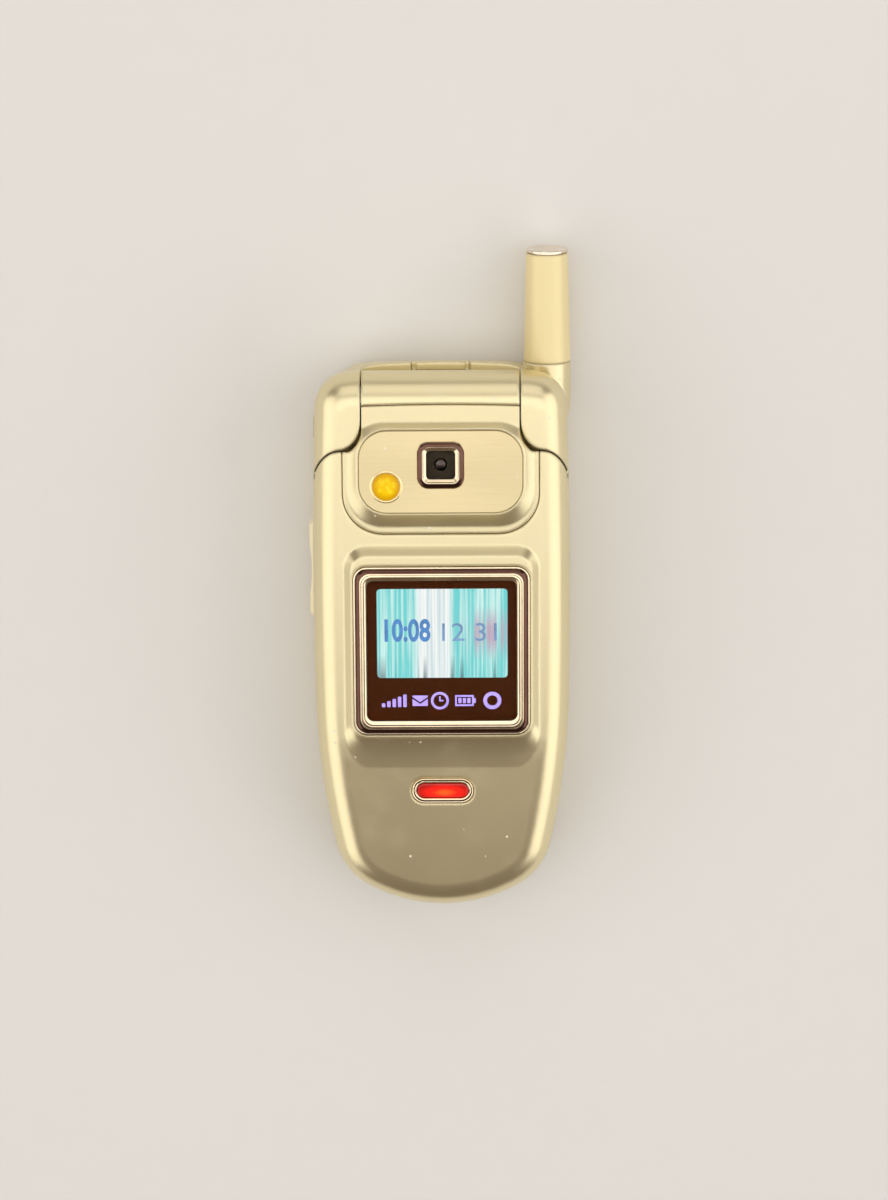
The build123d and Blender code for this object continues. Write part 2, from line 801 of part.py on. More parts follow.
# ---------------------------------------------------------------- lid inside
with BuildPart() as main_display_window:
    pad(
        (0, main_window_y),
        (main_window_width, main_window_length),
        main_window_corner_r,
        lid_floor + running,
        lid_floor + main_window_thickness,
    )
export(main_display_window, "main_display_window")

with BuildPart() as main_display_module:
    pad(
        (0, main_window_y),
        (main_window_width - 2 * module_wall, main_window_length - 2 * module_wall),
        module_wall,
        lid_inner_z,
        lid_inner_z + main_module_thickness,
    )
export(main_display_module, "main_display_module")

with BuildPart() as lid_circuit_board:
    board_size = (lid_board_width, lid_board_length)
    pad((0, lid_board_y), board_size, main_window_corner_r, lid_board_z, lid_board_top)
export(lid_circuit_board, "lid_circuit_board")

with BuildPart() as earpiece_speaker:
    pad(
        (0, earpiece_y),
        (earpiece_width, earpiece_length),
        earpiece_length / 3,
        lid_inner_z,
        lid_inner_z + earpiece_thickness,
    )
export(earpiece_speaker, "earpiece_speaker")

with BuildPart() as earpiece_grille:
    grille_size = (grille_width, grille_length)
    pad((0, earpiece_y), grille_size, grille_length / 2 - fit, lid_floor, lid_floor + grille_thickness)
    with Locations((0, earpiece_y, lid_floor)):
        with GridLocations(grille_pitch, grille_pitch, grille_slots, 1):
            Box(grille_pitch / 2, grille_length / 2, 2 * wall, mode=Mode.SUBTRACT)
export(earpiece_grille, "earpiece_grille")

with BuildPart() as lid_screws:
    head_z_low = lid_floor + running
    lid_bosses(head_z_low, lid_floor + lid_head_depth, lid_head_r)
    lid_bosses(head_z_low, head_z_low + lid_head_depth / 3, lid_head_r / 2, Mode.SUBTRACT)
    lid_bosses(lid_floor + lid_head_depth, lid_split + lid_screw_grip - fit, lid_shank_r)
export(lid_screws, "lid_screws")

with BuildPart() as lid_bumpers:
    for place in bumper_places:
        disc(place, bumper_r - running, deck_z + running, lid_floor + bumper_seat)
export(lid_bumpers, "lid_bumpers")


# ---------------------------------------------------------------- keypad
def rounded_key(centre, width, length, corner):
    """The plan of a key with rounded corners."""
    with BuildSketch() as shape:
        with Locations(centre):
            RectangleRounded(width, length, corner)
    return shape.sketch


def key_solid(name, shape, lip_drop=0):
    """One key: a cap through the deck, a lip under it and a stem above its dome."""
    lip_top = flange_top - lip_drop
    with BuildPart() as cap:
        with BuildSketch(Plane.XY.offset(lip_top)):
            add(shape)
        extrude(amount=key_top - lip_top)
        fillet(cap.faces().sort_by(Axis.Z)[-1].edges(), key_edge)
        with BuildSketch(Plane.XY.offset(lip_top - key_flange)):
            add(shape)
            offset(amount=key_lip)
        extrude(amount=key_flange)
        middle = shape.bounding_box().center()
        disc((middle.X, middle.Y), stem_r, stem_z, lip_top - key_flange / 2)
    export(cap, name)


key_plans = {}
number_names = ["1", "2", "3", "4", "5", "6", "7", "8", "9", "star", "0", "hash"]
for index, name in enumerate(number_names):
    key_place = ((index % 3 - 1) * key_pitch_x, first_row_y - index // 3 * key_pitch_y)
    key_plans[f"key_{name}"] = rounded_key(key_place, key_width, key_length, key_corner_r)
for side, hand in ((-1, "left"), (1, "right")):
    soft_place = (side * side_key_x, soft_key_y)
    call_place = (side * side_key_x, call_key_y)
    call_name = "key_send" if side < 0 else "key_end"
    key_plans[f"key_soft_{hand}"] = rounded_key(soft_place, side_key_width, side_key_length, key_corner_r)
    key_plans[call_name] = rounded_key(call_place, side_key_width, side_key_length, key_corner_r)
key_plans["key_clear"] = rounded_key((0, clear_y), clear_width, clear_length, clear_length / 2 - fit)
for name, shape in key_plans.items():
    key_solid(name, shape)

with BuildSketch() as ok_plan:
    with Locations((0, ring_y)):
        Circle(ok_r)
key_solid("key_ok", ok_plan.sketch, lip_drop=key_travel + fit)

with BuildPart() as key_ring:
    disc((0, ring_y), ring_r, flange_top, key_top)
    fillet(key_ring.faces().sort_by(Axis.Z)[-1].edges(), key_edge)
    disc((0, ring_y), ring_r + key_lip, flange_z, flange_top)
    with BuildSketch(Plane.XY.offset(stem_z)):
        with Locations((0, ring_y)):
            with PolarLocations(ring_r - stem_r, 4):
                Circle(stem_r)
    extrude(amount=flange_z - stem_z)
    disc((0, ring_y), ok_r + cover_gap, flange_top, key_top, Mode.SUBTRACT)
    disc((0, ring_y), ok_r + key_lip + cover_gap, stem_z, flange_top, Mode.SUBTRACT)
export(key_ring, "key_ring")

with BuildPart() as keypad_membrane:
    pad(
        (0, (membrane_rear_y + membrane_foot_y) / 2),
        (2 * membrane_half, membrane_rear_y - membrane_foot_y),
        key_corner_r,
        board_top,
        membrane_top,
    )
export(keypad_membrane, "keypad_membrane")


# ---------------------------------------------------------------- base covers
def base_discs(z_low, z_high, radius, mode=Mode.ADD):
    """One cylinder at each base screw."""
    for place in screw_places:
        disc(place, radius, z_low, z_high, mode)


def rocker_pin(gap, mode=Mode.ADD):
    """The rocker's pivot pin, which stands out above and below its body, grown by a gap."""
    pin_reach = rocker_height / 2 + rocker_pin_length + gap
    place = (rocker_pin_x, rocker_y)
    disc(place, rocker_pin_r + gap, back_split - pin_reach, back_split + pin_reach, mode)


def rocker_slot(gap):
    """The space of the volume rocker's body in the casing's left wall, grown by a gap."""
    block(
        (-half_width - wall, -half_width + rocker_thickness + 2 * gap),
        (rocker_y - rocker_length / 2 - gap, rocker_y + rocker_length / 2 + gap),
        (back_split - rocker_height / 2 - gap, back_split + rocker_height / 2 + gap),
        Mode.SUBTRACT,
    )
    rocker_pin(running, Mode.SUBTRACT)


trough_wall_r = barrel_r + swing_gap + wall
jack_z = board_z - jack_block_height / 2
port_z = board_z - port_height / 2

with BuildPart() as base_front_cover:
    add(hull)
    slab(back_split, deck_z)
    with BuildPart(mode=Mode.PRIVATE) as front_hollow:
        add(core)
        slab(back_split, deck_under)
        block(
            (-ear_x - wall, ear_x + wall),
            (hinge_y - trough_wall_r, reach),
            (hinge_z - trough_wall_r, reach),
            Mode.SUBTRACT,
        )
    add(front_hollow.part, mode=Mode.SUBTRACT)
    base_discs(board_top, deck_under, boss_r)
    base_discs(board_top, deck_under, shank_r + running, Mode.SUBTRACT)
    with BuildPart(mode=Mode.PRIVATE) as ear_blocks:
        add(hull)
        slab(deck_z, lid_top)
        add(ears, mode=Mode.INTERSECT)
    add(ear_blocks.part)
    # hinge trough, lip and journals
    hinge_rod((-ear_x, ear_x), barrel_r + swing_gap, Mode.SUBTRACT)
    block((-ear_x, ear_x), (hinge_y, reach), (lip_z, reach), Mode.SUBTRACT)
    hinge_end = barrel_half + journal_length + cover_gap
    hinge_rod((-hinge_end, hinge_end), journal_r + running, Mode.SUBTRACT)
    # keypad recess and key holes
    pad((0, recess_y), (recess_width, recess_length), recess_corner_r, key_floor, deck_z, Mode.SUBTRACT)
    for shape in key_plans.values():
        with BuildSketch(Plane.XY.offset(deck_under)):
            add(shape)
            offset(amount=cover_gap)
        extrude(amount=deck_thickness, mode=Mode.SUBTRACT)
    disc((0, ring_y), ring_r + cover_gap, deck_under, deck_z, Mode.SUBTRACT)
    add(fairing(antenna_seam), mode=Mode.SUBTRACT)
    rocker_slot(cover_gap)
    block(
        (-plug_rear_half, plug_rear_half),
        (crown_y - plug_length, reach),
        (lip_z - plug_thickness, reach),
        Mode.SUBTRACT,
    )
export(base_front_cover, "base_front_cover")

with BuildPart() as service_plug:
    with BuildSketch(Plane.XY.offset(lip_z - plug_thickness)):
        Polygon(
            (-plug_half, crown_y - plug_length + running),
            (plug_half, crown_y - plug_length + running),
            (plug_rear_half - running, reach),
            (-plug_rear_half + running, reach),
            align=None,
        )
    extrude(amount=plug_thickness)
    add(hull, mode=Mode.INTERSECT)
export(service_plug, "service_plug")

with BuildPart() as base_rear_cover:
    add(hull)
    slab(0, back_split)
    with BuildPart(mode=Mode.PRIVATE) as rear_hollow:
        add(core)
        slab(wall, back_split)
    add(rear_hollow.part, mode=Mode.SUBTRACT)
    # battery bay
    bay_half = battery_half + battery_gap
    bay_rear_y = battery_rear_y + battery_gap
    bay_foot_y = battery_foot_y - battery_gap
    bay_centre = (0, (bay_rear_y + bay_foot_y) / 2)
    bay_length = bay_rear_y - bay_foot_y
    bay_corner = battery_corner_r + battery_gap
    with BuildPart(mode=Mode.PRIVATE) as bay:
        bay_outside = (2 * bay_half + 2 * wall, bay_length + 2 * wall)
        pad(bay_centre, bay_outside, bay_corner + wall, 0, bay_ceiling + wall)
        add(hull, mode=Mode.INTERSECT)
    add(bay.part)
    pad(bay_centre, (2 * bay_half, bay_length), bay_corner, 0, bay_ceiling, Mode.SUBTRACT)
    # latch pocket and the slot for its tongue
    pocket_y = bay_rear_y + wall
    pocket_length = latch_length + latch_travel + 2 * cover_gap
    pocket_depth = latch_thickness + latch_sink + cover_gap
    pocket_half = latch_half + cover_gap
    block(
        (-pocket_half - wall, pocket_half + wall),
        (pocket_y, pocket_y + pocket_length + wall),
        (0, pocket_depth + wall),
    )
    pocket_end_y = pocket_y + pocket_length
    block((-pocket_half, pocket_half), (pocket_y, pocket_end_y), (0, pocket_depth), Mode.SUBTRACT)
    tongue_z = latch_sink + latch_thickness - latch_tongue_thickness
    block(
        (-latch_tongue_half - cover_gap, latch_tongue_half + cover_gap),
        (bay_rear_y - battery_gap, pocket_y + cover_gap),
        (tongue_z - cover_gap, pocket_depth),
        Mode.SUBTRACT,
    )
    # screw posts
    base_discs(wall / 2, board_z, boss_r)
    base_discs(0, head_z, head_r + fit, Mode.SUBTRACT)
    base_discs(0, board_z, shank_r + 2 * fit, Mode.SUBTRACT)
    # antenna housing, its bore and the path of the whip
    add(fairing(0))
    spigot_bore_r = spigot_r + running
    rod([(fairing_y - spigot_length - running, spigot_bore_r), (reach, spigot_bore_r)], Mode.SUBTRACT)
    rod([(0, stopper_r + fit), (reach, stopper_r + fit)], Mode.SUBTRACT)
    # loudspeaker slots
    with BuildSketch():
        with Locations((speaker_x, speaker_y)):
            with GridLocations(0, speaker_slot_pitch, 1, speaker_slots):
                SlotOverall(speaker_slot_length, speaker_slot_width)
    extrude(amount=wall, mode=Mode.SUBTRACT)
    # openings for the rocker, the headset jack and the bottom connector
    rocker_slot(cover_gap)
    block(
        (-half_width - wall, -half_width + 2 * wall),
        (jack_y - jack_flap_length / 2 - jack_tail - cover_gap, jack_y + jack_flap_length / 2 + cover_gap),
        (jack_z - jack_flap_height / 2 - cover_gap, jack_z + jack_flap_height / 2 + cover_gap),
        Mode.SUBTRACT,
    )
    block(
        (-port_half - 2 * cover_gap, port_half + 2 * cover_gap),
        (foot_y - wall, foot_y + 2 * wall),
        (port_z - port_flap_height / 2 - cover_gap, port_z + port_flap_height / 2 + cover_gap),
        Mode.SUBTRACT,
    )
export(base_rear_cover, "base_rear_cover")

# ---------------------------------------------------------------- battery and latch
with BuildPart() as battery_pack:
    battery_centre = (0, (battery_rear_y + battery_foot_y) / 2)
    battery_length = battery_rear_y - battery_foot_y
    pad(battery_centre, (2 * battery_half, battery_length), battery_corner_r, 0, battery_height)
    add(hull, mode=Mode.INTERSECT)
    block(
        (-latch_tongue_half - cover_gap, latch_tongue_half + cover_gap),
        (battery_rear_y - latch_tongue_reach - cover_gap, reach),
        (tongue_z - cover_gap, tongue_z + latch_tongue_thickness + cover_gap),
        Mode.SUBTRACT,
    )
    with Locations((0, battery_rear_y - 2 * latch_length)):
        with GridLocations(0, 3 * battery_groove, 1, latch_ribs):
            Box(latch_half, battery_groove, battery_groove, mode=Mode.SUBTRACT)
export(battery_pack, "battery_pack")

with BuildPart() as battery_latch:
    latch_y = pocket_y + cover_gap
    latch_top = latch_sink + latch_thickness
    block((-latch_half, latch_half), (latch_y, latch_y + latch_length), (latch_sink, latch_top))
    fillet(battery_latch.edges().filter_by(Axis.Z), latch_sink + cover_gap)
    block(
        (-latch_tongue_half, latch_tongue_half),
        (battery_rear_y - latch_tongue_reach, latch_y + cover_gap),
        (tongue_z, tongue_z + latch_tongue_thickness),
    )
    with Locations((0, latch_y + latch_length / 2, latch_sink)):
        with GridLocations(0, latch_length / (latch_ribs + 1), 1, latch_ribs):
            Box(2 * latch_half - latch_length, battery_groove / 2, battery_groove, mode=Mode.SUBTRACT)
export(battery_latch, "battery_latch")

# ---------------------------------------------------------------- base inside
with BuildPart() as main_circuit_board:
    with BuildSketch(Plane.XY.offset(board_z)):
        add(plan(wall + board_inset, hip_corner_r))
    extrude(amount=board_thickness)
    block((board_right_x, reach), (-reach, reach), (0, reach), Mode.SUBTRACT)
    add(fairing(swing_gap), mode=Mode.SUBTRACT)
    base_discs(board_z, board_top, shank_r + 2 * fit, Mode.SUBTRACT)
export(main_circuit_board, "main_circuit_board")

with BuildPart() as shield_can:
    pad((0, shield_y), (shield_width, shield_length), wall, board_z - shield_height, board_z)
    fillet(shield_can.faces().sort_by(Axis.Z)[0].edges(), shield_height / 6)
export(shield_can, "shield_can")

with BuildPart() as loudspeaker:
    disc((speaker_x, speaker_y), speaker_r, wall, wall + speaker_height)
    fillet(loudspeaker.faces().sort_by(Axis.Z)[-1].edges(), speaker_height / 6)
export(loudspeaker, "loudspeaker")

with BuildPart() as earjack_socket:
    jack_mouth_x = -half_width + 2 * wall
    block(
        (jack_mouth_x, jack_mouth_x + jack_block_length),
        (jack_y - jack_block_height / 2, jack_y + jack_block_height / 2),
        (jack_z - jack_block_height / 2, jack_z + jack_block_height / 2),
    )
    with BuildSketch(Plane(origin=(jack_mouth_x, jack_y, jack_z), x_dir=(0, 1, 0), z_dir=(1, 0, 0))):
        Circle(jack_r)
    extrude(amount=jack_block_length - wall, mode=Mode.SUBTRACT)
export(earjack_socket, "earjack_socket")

with BuildPart() as io_connector:
    port_front_y = foot_y + 2 * wall
    block(
        (-port_half, port_half),
        (port_front_y, port_front_y + port_depth),
        (port_z - port_height / 2, port_z + port_height / 2),
    )
    block(
        (-port_half + wall, port_half - wall),
        (port_front_y, port_front_y + port_depth - wall),
        (port_z - port_slot_height / 2, port_z + port_slot_height / 2),
        Mode.SUBTRACT,
    )
export(io_connector, "io_connector")

with BuildPart() as casing_skin:
    add(hull)
    with BuildSketch():
        add(plan(flap_thickness))
    extrude(amount=lid_top, mode=Mode.SUBTRACT)

with BuildPart() as io_cover:
    add(casing_skin.part)
    block(
        (-port_half, port_half),
        (foot_y, 0),
        (port_z - port_flap_height / 2, port_z + port_flap_height / 2),
        Mode.INTERSECT,
    )
export(io_cover, "io_cover")

with BuildPart() as earjack_cover:
    jack_flap_z = (jack_z - jack_flap_height / 2, jack_z + jack_flap_height / 2)
    jack_flap_y = (jack_y - jack_flap_length / 2, jack_y + jack_flap_length / 2)
    with BuildSketch(Plane.XY.offset(jack_flap_z[0])):
        add(plan(-jack_flap_rise))
    extrude(amount=jack_flap_height)
    with BuildSketch(Plane.XY.offset(jack_flap_z[0])):
        add(plan(flap_thickness))
    extrude(amount=jack_flap_height, mode=Mode.SUBTRACT)
    block((-reach, 0), jack_flap_y, jack_flap_z, Mode.INTERSECT)
    with BuildPart(mode=Mode.PRIVATE) as strap:
        add(casing_skin.part)
        block((-reach, 0), (jack_flap_y[0] - jack_tail, jack_flap_y[1]), jack_flap_z, Mode.INTERSECT)
    add(strap.part)
export(earjack_cover, "earjack_cover")

with BuildPart() as volume_rocker:
    rocker_half = rocker_length / 2
    rocker_outer_x = -half_width - rocker_rise
    with BuildSketch(Plane.XY.offset(back_split - rocker_height / 2)):
        with BuildLine():
            inner_x = -half_width + rocker_thickness
            low = Line((inner_x, rocker_y - rocker_half), (-half_width, rocker_y - rocker_half))
            foot_bump = Line(low @ 1, (rocker_outer_x, rocker_y - rocker_half + rocker_rise))
            foot_end = Line(foot_bump @ 1, (rocker_outer_x, rocker_y - rocker_half / 2))
            waist = ThreePointArc(
                foot_end @ 1,
                (rocker_outer_x + rocker_waist, rocker_y),
                (rocker_outer_x, rocker_y + rocker_half / 2),
            )
            rear_end = Line(waist @ 1, (rocker_outer_x, rocker_y + rocker_half - rocker_rise))
            rear_bump = Line(rear_end @ 1, (-half_width, rocker_y + rocker_half))
            Polyline(rear_bump @ 1, (inner_x, rocker_y + rocker_half), low @ 0)
        make_face()
    extrude(amount=rocker_height)
    rocker_pin(0)
export(volume_rocker, "volume_rocker")

with BuildPart() as base_screws:
    base_discs(head_z - head_height, head_z, head_r)
    base_discs(head_z, deck_under - fit, shank_r)
    base_discs(head_z - head_height, head_z - head_height / 2, head_r / 2, Mode.SUBTRACT)
export(base_screws, "base_screws")

# ---------------------------------------------------------------- antenna
with BuildPart() as antenna_stub:
    rod(
        [
            (fairing_y - spigot_length, spigot_r),
            (fairing_y + running, spigot_r),
            (fairing_y + running, stub_root_r),
            (stub_end_y, stub_end_r),
        ]
    )
    chamfer(antenna_stub.faces().sort_by(Axis.Y)[-1].edges(), fit)
    rod([(0, whip_r + running), (reach, whip_r + running)], Mode.SUBTRACT)
export(antenna_stub, "antenna_stub")

with BuildPart() as antenna_whip:
    rod(
        [
            (whip_foot_y, stopper_r),
            (whip_foot_y + stopper_length, stopper_r),
            (whip_foot_y + stopper_length, whip_r),
            (stub_end_y + running, whip_r),
        ]
    )
export(antenna_whip, "antenna_whip")

with BuildPart() as antenna_tip:
    tip_y = stub_end_y + running
    cap_y = tip_y + tip_groove
    tip_end_y = cap_y + tip_length
    rod([(tip_y, tip_groove_r), (cap_y, tip_groove_r), (cap_y, tip_r), (tip_end_y, tip_r)])
    fillet(antenna_tip.faces().sort_by(Axis.Y)[-1].edges(), tip_dish)
    with BuildSketch(antenna_plane):
        with BuildLine():
            dish_half = tip_r - 2 * tip_dish
            dish = ThreePointArc((-dish_half, tip_end_y), (0, tip_end_y - tip_dish), (dish_half, tip_end_y))
            Line(dish @ 0, dish @ 1)
        make_face()
        split(bisect_by=Plane.YZ)
    revolve(axis=antenna_axis, mode=Mode.SUBTRACT)
export(antenna_tip, "antenna_tip")
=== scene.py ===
"""Looks of a clamshell phone: finishes, fitted detail, floor, lamps and camera."""

from __future__ import annotations

import json
import logging
import math
from dataclasses import dataclass
from enum import Enum
from typing import Callable, Sequence

import bmesh
import bpy
from mathutils import Matrix, Vector

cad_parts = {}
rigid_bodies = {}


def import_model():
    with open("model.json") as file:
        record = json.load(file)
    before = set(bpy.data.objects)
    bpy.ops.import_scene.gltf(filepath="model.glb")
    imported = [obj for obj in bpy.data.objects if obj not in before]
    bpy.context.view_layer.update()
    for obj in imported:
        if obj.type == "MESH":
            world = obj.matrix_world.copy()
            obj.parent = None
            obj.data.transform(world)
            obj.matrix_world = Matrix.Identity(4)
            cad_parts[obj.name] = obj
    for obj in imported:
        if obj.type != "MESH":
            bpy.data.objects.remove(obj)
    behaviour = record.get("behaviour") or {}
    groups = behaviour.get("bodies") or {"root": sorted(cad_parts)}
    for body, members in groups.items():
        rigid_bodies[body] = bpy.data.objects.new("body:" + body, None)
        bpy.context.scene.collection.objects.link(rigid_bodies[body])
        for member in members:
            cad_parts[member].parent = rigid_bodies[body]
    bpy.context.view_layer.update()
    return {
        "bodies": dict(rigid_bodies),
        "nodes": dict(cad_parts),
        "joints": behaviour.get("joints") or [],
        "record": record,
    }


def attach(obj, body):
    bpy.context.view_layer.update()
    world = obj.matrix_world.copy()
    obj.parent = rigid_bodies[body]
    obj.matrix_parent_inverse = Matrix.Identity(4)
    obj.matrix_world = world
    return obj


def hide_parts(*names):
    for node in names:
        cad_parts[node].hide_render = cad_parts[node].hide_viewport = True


log = logging.getLogger("flip_phone")

MM = 0.001
WELD = 1e-7  # points closer than this, in metres, are one
TURN_STEPS = 72  # steps round a turned piece
SIZE_OVER_HEIGHT = 1.38  # the lettering's size over its digits' height
Colour = tuple[float, float, float]
Point = tuple[float, float]
Outline = Sequence[Point]
Material = bpy.types.Material
Node = bpy.types.Node
NodeTree = bpy.types.NodeTree
Object = bpy.types.Object
Socket = bpy.types.NodeSocket


def mm(*values: float) -> Vector:
    """A place or a size given in millimetres, as a vector in metres."""
    return Vector(value * MM for value in values)


def srgb(red: int, green: int, blue: int) -> Colour:
    """A screen colour of 0 to 255 per channel, as linear light.

    Args:
        red: The red channel.
        green: The green channel.
        blue: The blue channel.

    Returns:
        The colour that a shader takes.
    """

    def linear(value: int) -> float:
        """One channel as linear light."""
        share = value / 255
        return share / 12.92 if share <= 0.04045 else ((share + 0.055) / 1.055) ** 2.4

    return linear(red), linear(green), linear(blue)


def scaled(colour: Colour, share: float, lift: float = 0.0) -> Colour:
    """A colour made darker or lighter, kept within range."""
    red, green, blue = (min(1.0, channel * share + lift) for channel in colour)
    return red, green, blue


def rgba(colour: Colour) -> tuple[float, float, float, float]:
    """A colour with full alpha, as a shader socket takes it."""
    return (*colour, 1.0)


DUST_COLOUR = srgb(244, 240, 230)
DUST_SCALE = 520.0
FLAKE_SCALE = 9000.0
WEAR_RADIUS = 0.0002  # metres


# ---------------------------------------------------------------- shader node helpers
class Tree:
    """Thin helper over a node tree: makes nodes, sets their sockets and links them."""

    def __init__(self, tree: NodeTree) -> None:
        """Take the tree to write into."""
        self.tree = tree

    def node(self, kind: str, **settings: object) -> Node:
        """Add a node.

        Args:
            kind: The node's type name, such as ShaderNodeTexNoise.
            settings: Attributes of the node, or inputs by socket name with _ for a space.

        Returns:
            The new node.
        """
        made = self.tree.nodes.new(kind)
        for name, value in settings.items():
            if hasattr(made, name):
                setattr(made, name, value)
            else:
                self.feed(made.inputs[name.replace("_", " ")], value)
        return made

    def feed(self, socket: Socket, value: object) -> None:
        """Link a socket to another one, or set its constant.

        Args:
            socket: The input.
            value: Another socket, or a constant.
        """
        if isinstance(value, Socket):
            self.tree.links.new(value, socket)
        else:
            socket.default_value = value

    def math(self, operation: str, *values: object) -> Socket:
        """A Math node on up to three values.

        Args:
            operation: What it does, such as ADD.
            values: Sockets or constants.

        Returns:
            The result.
        """
        made = self.tree.nodes.new("ShaderNodeMath")
        made.operation = operation
        for socket, value in zip(made.inputs, values):
            self.feed(socket, value)
        return made.outputs[0]

    def times(self, first: object, second: object) -> Socket:
        """The product of two values."""
        return self.math("MULTIPLY", first, second)

    def minus(self, first: object, second: object) -> Socket:
        """The first value less the second."""
        return self.math("SUBTRACT", first, second)

    def fold(self, value: object, factor: object, base: object) -> Socket:
        """A value times a factor, on top of a base."""
        return self.math("MULTIPLY_ADD", value, factor, base)

    def mix(self, factor: object, first: object, second: object) -> Socket:
        """A mix of two colours by a factor.

        Args:
            factor: 0 for the first colour, 1 for the second.
            first: The first colour.
            second: The second colour.

        Returns:
            The mixed colour.
        """
        made = self.tree.nodes.new("ShaderNodeMix")
        made.data_type = "RGBA"
        self.feed(made.inputs[0], factor)
        self.feed(made.inputs[6], first)
        self.feed(made.inputs[7], second)
        return made.outputs[2]

    def remap(
        self, value: object, low: float, high: float, start: float = 0.0, end: float = 1.0
    ) -> Socket:
        """Stretch a value from one range onto another, clamped.

        Args:
            value: The value.
            low: Where its range begins.
            high: Where its range ends; below low, the result falls as the value rises.
            start: What low becomes.
            end: What high becomes.

        Returns:
            The stretched value.
        """
        made = self.tree.nodes.new("ShaderNodeMapRange")
        made.clamp = True
        for socket, given in zip(made.inputs, (value, low, high, start, end)):
            self.feed(socket, given)
        return made.outputs[0]

    def place(self, scale: Sequence[float] = (1.0, 1.0, 1.0)) -> Socket:
        """The point's own place in the object, in metres, stretched by a scale.

        Args:
            scale: The stretch along each axis.

        Returns:
            The place.
        """
        source = self.node("ShaderNodeTexCoord")
        made = self.node("ShaderNodeMapping")
        made.inputs["Scale"].default_value = scale
        self.tree.links.new(source.outputs["Object"], made.inputs["Vector"])
        return made.outputs[0]

    def noise(
        self, vector: object, scale: object, detail: float = 2.0, rough: float = 0.5
    ) -> Socket:
        """A noise texture's value."""
        settings = {"Vector": vector, "Scale": scale, "Detail": detail, "Roughness": rough}
        return self.node("ShaderNodeTexNoise", **settings).outputs["Fac"]

    def cells(self, scale: object) -> Node:
        """A cell texture over the object."""
        return self.node("ShaderNodeTexVoronoi", Vector=self.place(), Scale=scale)

    def axes(self) -> tuple[Socket, Socket]:
        """The point's own place in the object, in millimetres.

        Returns:
            The place across the object and the place along it.
        """
        place = self.place((1 / MM, 1 / MM, 1 / MM))
        split = self.node("ShaderNodeSeparateXYZ", Vector=place)
        return split.outputs[0], split.outputs[1]

    def distance(self, centre: Point, reach: Point) -> Socket:
        """The distance from a centre, as a share of a reach along each axis.

        Args:
            centre: The centre in millimetres.
            reach: The reach across and along, in millimetres.

        Returns:
            The share, which is 1 on the ellipse of that reach.
        """
        squares = []
        for place, middle, half in zip(self.axes(), centre, reach):
            share = self.math("DIVIDE", self.minus(place, middle), half)
            squares.append(self.times(share, share))
        return self.math("SQRT", self.math("ADD", *squares))


GroupBody = Callable[[Tree, Node, Node], None]


def make_group(
    name: str, inputs: dict[str, float], outputs: dict[str, str], body: GroupBody
) -> NodeTree:
    """Build a shader node group once.

    Args:
        name: The group's name.
        inputs: Each float input with its usual value.
        outputs: Each output with its socket type.
        body: Writes the group's nodes between its input and output nodes.

    Returns:
        The node group, new or already built.
    """
    known = bpy.data.node_groups.get(name)
    if known:
        return known
    group = bpy.data.node_groups.new(name, "ShaderNodeTree")
    for title, value in inputs.items():
        socket = group.interface.new_socket(title, in_out="INPUT", socket_type="NodeSocketFloat")
        socket.default_value = value
    for title, kind in outputs.items():
        group.interface.new_socket(title, in_out="OUTPUT", socket_type=kind)
    body(Tree(group), group.nodes.new("NodeGroupInput"), group.nodes.new("NodeGroupOutput"))
    return group


def edge_wear_group() -> NodeTree:
    """Mask of the outer edges, where paint polishes through, broken up by noise.

    Returns:
        The node group.
    """

    def body(tree: Tree, source: Node, sink: Node) -> None:
        """Compare a bevelled normal with the true one.

        Args:
            tree: The group's tree.
            source: Its input node.
            sink: Its output node.
        """
        flat, rounded = 0.998, 0.93  # how well the two normals agree
        patch_scale, patch_foot, patch_top = 900.0, 0.42, 0.6
        bevel = tree.node("ShaderNodeBevel", samples=4)
        tree.feed(bevel.inputs["Radius"], source.outputs["Radius"])
        geometry = tree.node("ShaderNodeNewGeometry")
        dot = tree.node("ShaderNodeVectorMath", operation="DOT_PRODUCT")
        tree.feed(dot.inputs[0], bevel.outputs[0])
        tree.feed(dot.inputs[1], geometry.outputs["Normal"])
        edge = tree.remap(dot.outputs["Value"], flat, rounded)
        patches = tree.remap(tree.noise(tree.place(), patch_scale, 3.0), patch_foot, patch_top)
        worn = tree.times(edge, patches)
        tree.feed(sink.inputs["Mask"], tree.times(worn, source.outputs["Amount"]))

    inputs = {"Radius": 0.0003, "Amount": 0.5}
    return make_group("edge_wear", inputs, {"Mask": "NodeSocketFloat"}, body)


def paint_flake_group() -> NodeTree:
    """Fine metallic flake of a paint: a sparkle value and a height.

    Returns:
        The node group.
    """

    def body(tree: Tree, source: Node, sink: Node) -> None:
        """Cells as flakes over a fine orange peel.

        Args:
            tree: The group's tree.
            source: Its input node.
            sink: Its output node.
        """
        peel_scale = 1500.0
        cells = tree.cells(source.outputs["Scale"])
        grey = tree.node("ShaderNodeSeparateColor", Color=cells.outputs["Color"])
        peel = tree.noise(tree.place(), peel_scale, 2.0)
        sparkle = tree.times(tree.minus(grey.outputs[0], 0.5), source.outputs["Amount"])
        tree.feed(sink.inputs["Sparkle"], sparkle)
        height = tree.fold(grey.outputs[1], source.outputs["Amount"], peel)
        tree.feed(sink.inputs["Height"], height)

    outputs = {"Sparkle": "NodeSocketFloat", "Height": "NodeSocketFloat"}
    return make_group("paint_flake", {"Scale": FLAKE_SCALE, "Amount": 0.2}, outputs, body)


